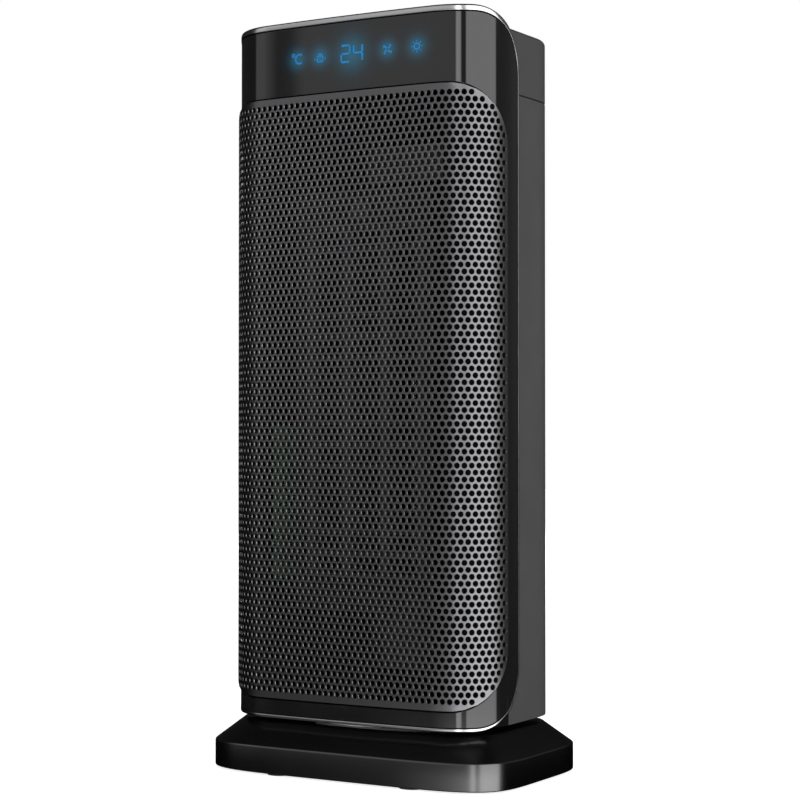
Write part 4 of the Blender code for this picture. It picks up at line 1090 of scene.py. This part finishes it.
# floor, light, camera
studio = {
    "floorColour": (0.9, 0.9, 0.9), "floorRoughness": 0.8, "floorGlow": 0.8, "floorSize": 6.0,
    # direction from straight ahead of the heater's front towards its right, in degrees, and brightness
    "walls": [(-180, 0.02), (-120, 0.025), (-66.5, 0.04), (-64.5, 0.25), (-62, 0.8), (-43, 0.92),
              (-40.4, 0.88), (-39.8, 0.55), (-39.3, 0.1), (-38.8, 0.03), (-38.3, 0.03), (-37.9, 0.28),
              (-37.5, 0.5), (-37, 0.74), (-36, 0.76), (-24, 0.78), (17, 0.74), (23.4, 0.68), (24, 0.1),
              (96, 0.1), (120, 0.13), (150, 0.17), (162, 0.05), (180, 0.02)],
    "cards": [(-180, 0.0), (23.4, 0.0), (24.2, 0.95), (31.4, 0.82), (32.4, 0.6), (33.6, 0.02), (41, 0.0),
              (42.5, 0.72), (93, 0.68), (99, 0.62), (101, 0.0), (180, 0.0)],
    "lowGlow": [(-180, 0.0), (-31, 0.0), (-26, 0.22), (-16, 0.34), (-8, 0.5), (2, 0.7), (12, 0.9),
                (22, 1.0), (60, 1.0), (92, 0.8), (104, 0.2), (112, 0.0), (180, 0.0)],
    # the same three by height above the horizon
    "wallHeight": [(-90, 0.25), (-40, 0.25), (-26, 0.06), (-12, 0.02), (-8, 0.06), (-5, 0.25), (2, 0.7),
                   (8, 1.0), (38, 1.0), (62, 0.25), (90, 0.05)],
    "cardHeight": [(-90, 0.0), (-40, 0.1), (-25, 0.8), (-8, 1.0), (30, 1.0), (55, 0.1), (90, 0.0)],
    "lowHeight": [(-90, 0.0), (-34, 0.0), (-18, 1.0), (-9, 1.0), (-7.5, 0.1), (-6, 0.0), (90, 0.0)],
    "strength": {"wall": 1.0, "card": 4.5, "low": 2.0},
    "backLight": {"place": (-1.7, 2.3, 1.6), "aim": (0, 0, 0.25), "size": 1.4, "power": 45.0},
}


def rampOf(tree, source, stops, span):
    node = tree.nodes.new("ShaderNodeValToRGB")
    ramp = node.color_ramp
    for index, (angle, value) in enumerate(stops):
        place = (angle + span) / (2 * span)
        stop = ramp.elements[index] if index < 2 else ramp.elements.new(place)
        stop.position = place
        stop.color = (value, value, value, 1)
    tree.links.new(source, node.inputs["Fac"])
    return node.outputs["Color"]


def buildWorld():
    world = bpy.data.worlds.new("studio")
    bpy.context.scene.world = world
    world.use_nodes = True
    tree = world.node_tree
    tree.nodes.clear()
    direction = addNode(tree, "ShaderNodeTexCoord").outputs["Generated"]
    parts = addNode(tree, "ShaderNodeSeparateXYZ", {0: direction})
    ahead = calculate(tree, "MULTIPLY", parts.outputs["Y"], -1.0)
    turn = calculate(tree, "ARCTAN2", parts.outputs["X"], ahead)
    turnShare = remap(tree, turn, -pi, pi)
    rise = calculate(tree, "ARCSINE", parts.outputs["Z"])
    riseShare = remap(tree, rise, -pi / 2, pi / 2)
    total = None
    for around, upwards, name in (("walls", "wallHeight", "wall"), ("cards", "cardHeight", "card"),
                                  ("lowGlow", "lowHeight", "low")):
        byTurn = rampOf(tree, turnShare, studio[around], 180)
        byHeight = rampOf(tree, riseShare, studio[upwards], 90)
        shape = combine(tree, "MULTIPLY", byTurn, byHeight)
        light = addNode(tree, "ShaderNodeVectorMath", {0: shape, "Scale": studio["strength"][name]},
                        operation="SCALE").outputs[0]
        total = combine(tree, "ADD", total, light) if total else light
    glow = addNode(tree, "ShaderNodeBackground", {"Color": total, "Strength": 1.0})
    white = addNode(tree, "ShaderNodeBackground", {"Color": (1, 1, 1, 1), "Strength": 1.0})
    seen = addNode(tree, "ShaderNodeLightPath").outputs["Is Camera Ray"]
    mix = addNode(tree, "ShaderNodeMixShader", {0: seen, 1: glow.outputs[0], 2: white.outputs[0]})
    addNode(tree, "ShaderNodeOutputWorld", {"Surface": mix.outputs[0]})


def buildBackLight():
    # a soft light behind the heater, for the sides the camera doesn't see
    back = studio["backLight"]
    light = bpy.data.lights.new("backLight", "AREA")
    light.shape = "SQUARE"
    light.size = back["size"]
    light.energy = back["power"]
    holder = intoScene("backLight", light)
    holder.location = back["place"]
    aim = Vector(back["aim"]) - Vector(back["place"])
    holder.rotation_euler = aim.to_track_quat("-Z", "Y").to_euler()
    holder.visible_camera = False
    holder.visible_glossy = False


def buildFloor():
    bm = bmesh.new()
    bmesh.ops.create_grid(bm, x_segments=1, y_segments=1, size=studio["floorSize"])
    material, _, shader = newMaterial("paleFloor", studio["floorColour"], studio["floorRoughness"])
    shader.inputs["Emission Color"].default_value = (1, 1, 1, 1)
    shader.inputs["Emission Strength"].default_value = studio["floorGlow"]
    floor = intoScene("floor", meshFrom(bm, "floor"))
    floor.data.materials.append(material)
    floor.visible_glossy = False


# turn is towards the heater's right; away and across are metres from the middle of its front
view = {"lens": 90.87, "sensor": 36, "reach": 50, "turn": radians(30.84), "tilt": radians(90.94),
        "away": 1.2967, "across": 0.0358, "height": 0.2226}


def buildCamera():
    camera = bpy.data.cameras.new("camera")
    camera.lens = view["lens"]
    camera.sensor_width = view["sensor"]
    camera.clip_end = view["reach"]
    holder = intoScene("camera", camera)
    turn, away, across = view["turn"], view["away"], view["across"]
    holder.location = (sin(turn) * away + cos(turn) * across,
                       frontY - cos(turn) * away + sin(turn) * across, view["height"])
    holder.rotation_euler = (view["tilt"], 0, turn)
    bpy.context.scene.camera = holder


buildWorld()
buildBackLight()
buildFloor()
buildCamera()
bpy.context.scene.view_settings.view_transform = "Standard"
